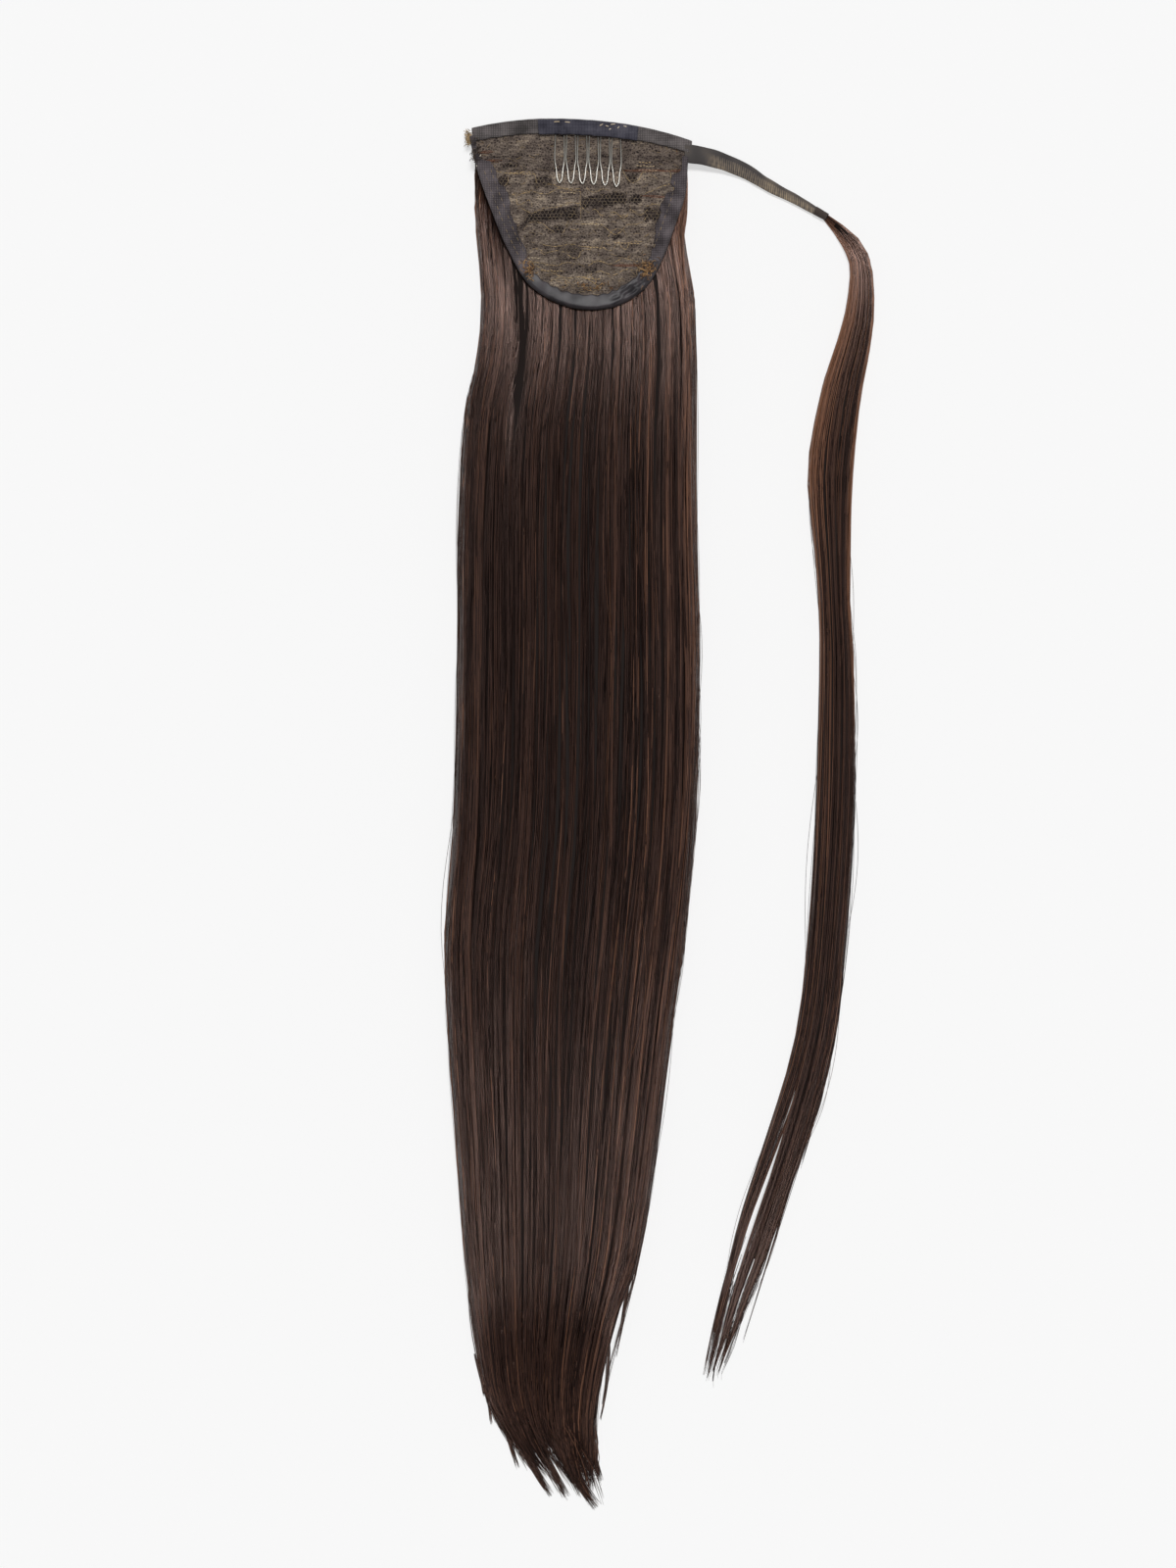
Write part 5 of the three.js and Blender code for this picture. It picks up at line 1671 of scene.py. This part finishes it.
whipping = build_tubes(
    "whipping_thread", whipping_coil(11), 0.27, 6, thread_material, np.array([0.3])
)
share = np.linspace(0, 1, 12)
core_turn = np.linspace(0, 2 * np.pi, 16, endpoint=False)
core_run = (REST_GAP + 0.1 + share * (WHIPPING_LENGTH - 0.2))[:, None, None] * whipping_ahead
core_side = (np.cos(core_turn) * (WHIPPING_WIDTH / 2 - 0.5))[None, :, None] * whipping_left
core_xy = strap_end + core_run + core_side
core_z = WHIPPING_HEIGHT / 2 + np.sin(core_turn) * (WHIPPING_HEIGHT / 2 - 0.5)
core_z = np.broadcast_to(core_z, core_xy.shape[:2])[..., None]
core = closed_rings("whipping_core", np.concatenate([core_xy, core_z], -1), strap_material)
fit([whipping, core], "thread_whipping")

# %% [markdown]
# Hand sewing leaves traces: pale stitches on the header, loose golden threads where the rim
# tape starts, and a tuft of pale fluff at the corner where the tapes were cut.


# %% Loose threads and fluff
def fluff(count, centre, spread, length, seed, lift):
    """Short curling threads round a place on the base."""
    pick = np.random.default_rng(seed)
    start = np.array(centre) + pick.normal(0, 1, (count, 2)) * np.array(spread)
    heading = pick.uniform(0, 2 * np.pi, count)
    curl = pick.normal(0, 2.2, count)
    size = pick.uniform(0.5, 1.0, count) * length
    s = np.linspace(0, 1, 9)
    turn = heading[:, None] + curl[:, None] * s
    steps = np.stack([np.cos(turn), np.sin(turn)], -1) * (size / 9)[:, None, None]
    xy = start[:, None] + np.cumsum(steps, 1)
    base = panel_top(np.clip(start[:, 0], -43, 43), start[:, 1])
    z = base[:, None] + lift * (0.4 + pick.random((count, 1)))
    z = z + 0.5 * np.sin(s * 3) * pick.random((count, 1))
    return np.concatenate([xy, z[..., None]], -1)


def over_base(paths, overhang=1.2):
    """The threads that stay over the base or its bindings."""
    away = paths[..., None, :2] - fine_edge
    nearest = (away**2).sum(-1).argmin(-1)
    along = np.gradient(fine_edge, axis=0)
    inward = unit(np.stack([-along[:, 1], along[:, 0]], -1))
    away = np.take_along_axis(away, nearest[..., None, None], -2)[..., 0, :]
    depth = (away * inward[nearest]).sum(-1)
    return paths[depth.min(1) > -overhang]


pick = np.random.default_rng(81)
corner_tuft = fluff(150, (-45.6, -6.6), (0.55, 1.3), 2.0, 82, 0.2)
left_gold = over_base(fluff(90, (-21.5, -62.5), (1.5, 2.2), 2.6, 83, 1.7))
right_gold = over_base(fluff(110, (27.6, -62.0), (1.8, 1.9), 2.6, 84, 1.7))
rim_gold = over_base(fluff(36, (8.0, -69.0), (7.0, 0.8), 2.4, 85, 0.8))
side_brown = fluff(60, (-42.9, -13.0), (0.6, 2.4), 2.8, 86, 1.4)
loose_paths = np.concatenate([corner_tuft, side_brown])
loose_tones = [pick.uniform(0.62, 0.92, len(corner_tuft)), pick.uniform(0.1, 0.5, len(side_brown))]
loose = build_tubes(
    "loose_threads", loose_paths, 0.13, 3, thread_material, np.concatenate(loose_tones)
)

# %% [markdown]
# The golden thread is mercerised sewing thread, so it is smoother than the cotton and catches
# more light.

# %% Golden threads
GOLD_STOPS = [(0.0, "#5e432c"), (0.5, "#96704a"), (1.0, "#cfa878")]
gold_material = toned_material(
    "golden_sewing_thread", GOLD_STOPS, Roughness=0.6, Specular_IOR_Level=0.3
)
gold_paths = np.concatenate([left_gold, right_gold, rim_gold])
gold_tones = pick.random(len(gold_paths))
gold = build_tubes("golden_threads", gold_paths, 0.14, 3, gold_material, gold_tones)

# %% [markdown]
# Last come the short stitches that hold the bindings, hairs of the piece that were caught in
# its seams, and a few pale stitches, most of them on the header.


# %% Sewing lines on the bindings
def sewing_line(start, end, depth, pitch=2.6):
    """Short stitches on a binding tape, at a depth in from the base's edge."""
    paths = []
    for share in np.arange(start, end, pitch / steps.sum()):
        point, inward = edge_at(share + np.linspace(0, 1.5 / steps.sum(), 5))
        x, y = (point + inward * depth).T
        paths.append(np.stack([x, y, panel_top(x, y) + REST_GAP + TAPE_WALL + 0.12], -1))
    return paths


LINES = [(0.1, 0.34, 3.9), (0.74, 0.91, 3.6), (0.1, 0.34, 1.2)]
line_paths = [path for line in LINES for path in sewing_line(*line)]
line_tones = pick.uniform(0.5, 0.72, len(line_paths))
lines = build_tubes("sewing_lines", np.array(line_paths), 0.12, 4, thread_material, line_tones)

# %% Hairs caught in the seams, and pale stitches
# For each seam with hairs in it: x from and to, and the distance down the base.
SEAM_HAIRS = [
    (19.0, 42.0, 20.7),
    (27.0, 39.0, 31.6),
    (-42.0, -34.0, 16.6),
    (-42.5, -37.0, 12.8),
    (14.0, 24.0, 60.4),
]


def seam_hairs(each, seed):
    """A few wavering hairs along each of those seams."""
    pick = np.random.default_rng(seed)
    paths = []
    for left_x, right_x, down in SEAM_HAIRS:
        for _ in range(each):
            ends = np.array([left_x, right_x]) + pick.normal(0, 1.5, 2)
            x = np.linspace(ends[0], ends[1], 16).clip(-43.4, 43.4)
            y = -down + pick.normal(0, 0.28) + 0.25 * np.sin(x * 0.4 + pick.uniform(0, 6))
            paths.append(on_lace(x, y, 0.25))
    return np.array(paths)


caught_paths = seam_hairs(8, 87)
caught_tones = np.random.default_rng(88).uniform(0.75, 1.0, len(caught_paths))
caught = build_tubes("hairs_in_seams", caught_paths, 0.11, 3, hair_material, caught_tones)
fit([caught])

PALE_STITCHES = {
    "x": [-9.6, -5.2, 8.6, 11.0, 13.4, 15.6, 18.4, 12.2, -40.8, -38.0, -41.8, 44.6],
    "down": [0.2, 0.4, 1.6, 2.1, 1.3, 2.7, 2.2, 3.4, 14.2, 17.8, 18.4, 11.8],
    "length": [2.2, 2.0, 1.4, 1.2, 1.8, 1.0, 1.2, 0.8, 0.9, 3.2, 1.4, 1.2],
    "turn": [0.05, -0.1, 0.5, -0.3, 0.1, 0.8, -0.2, 0.4, 1.2, 0.1, 0.2, 0.9],
}
pale = []
for x0, down, length, turn in zip(*PALE_STITCHES.values()):
    s = np.linspace(-0.5, 0.5, 6) * length
    x = x0 + s * math.cos(turn)
    y = -down + s * math.sin(turn)
    lift = 2 * REST_GAP + 2 * TAPE_WALL + 0.1 if down < HEADER_WIDTH else 0.35
    z = panel_top(x, y) + lift + 0.15 * np.cos(s / length * np.pi)
    pale.append(np.stack([x, y, z], -1))
pale_stitches = build_tubes(
    "pale_stitches", np.array(pale), 0.18, 5, thread_material, np.linspace(0.91, 0.98, len(pale))
)
fit([loose, gold, lines, pale_stitches])

# %% [markdown]
# The table and the light. The floor is a pale sheet that is lit from below as well as from
# above, as on a light table, so shadows on it stay faint. Two wide soft lamps
# stand far above, one beyond the base and one towards the tips, so that the hair, which
# climbs from the base and sinks to its tips, shows a soft band near each end and stays dark
# in between. The room is dim overhead and pale at the horizon.

# %% Floor, world and lamps
# A matt opal sheet, lit from below, which leaves a faint shadow at most.
floor_material, tree, shader = new_material("pale_table", Roughness=0.85, Specular_IOR_Level=0.1)
shader.inputs["Base Color"].default_value = linear("#b6b6b6")
shader.inputs["Emission Color"].default_value = linear("#ffffff")
shader.inputs["Emission Strength"].default_value = 0.49
bpy.ops.mesh.primitive_plane_add(size=40.0, location=(0.0, 0.0, -0.0002))
floor = bpy.context.object
floor.name = "table_top"
floor.data.materials.append(floor_material)

world = bpy.data.worlds.new("studio")
world.use_nodes = True
bpy.context.scene.world = world
sky = world.node_tree
coordinates = add_node(sky, "ShaderNodeTexCoord")
height = add_node(sky, "ShaderNodeSeparateXYZ", links={"Vector": coordinates.outputs["Generated"]})
SKY_STOPS = [(0.0, "#f8f8f8"), (0.08, "#ececec"), (0.16, "#8c8c8c"), (1.0, "#6a6a6a")]
rising = add_node(sky, "ShaderNodeValToRGB", links={"Fac": height.outputs["Z"]}, stops=SKY_STOPS)
sky.links.new(rising.outputs["Color"], sky.nodes["Background"].inputs["Color"])
sky.nodes["Background"].inputs["Strength"].default_value = 0.85


def soft_lamp(name, lean, turn, spread, power):
    """A far lamp that leans from straight above, given in degrees."""
    data = bpy.data.lights.new(name, "SUN")
    data.angle = math.radians(spread)
    data.energy = power
    lamp = bpy.data.objects.new(name, data)
    bpy.context.scene.collection.objects.link(lamp)
    lean, turn = math.radians(lean), math.radians(turn)
    aside = math.sin(lean)
    towards = Vector((aside * math.sin(turn), aside * math.cos(turn), math.cos(lean)))
    lamp.rotation_euler = towards.to_track_quat("Z", "Y").to_euler()
    return lamp


soft_lamp("lamp_beyond_base", 20, 16, 13, 1.95)
soft_lamp("lamp_towards_tips", 12, 184, 11, 0.66)
bpy.context.scene.view_settings.view_transform = "Standard"
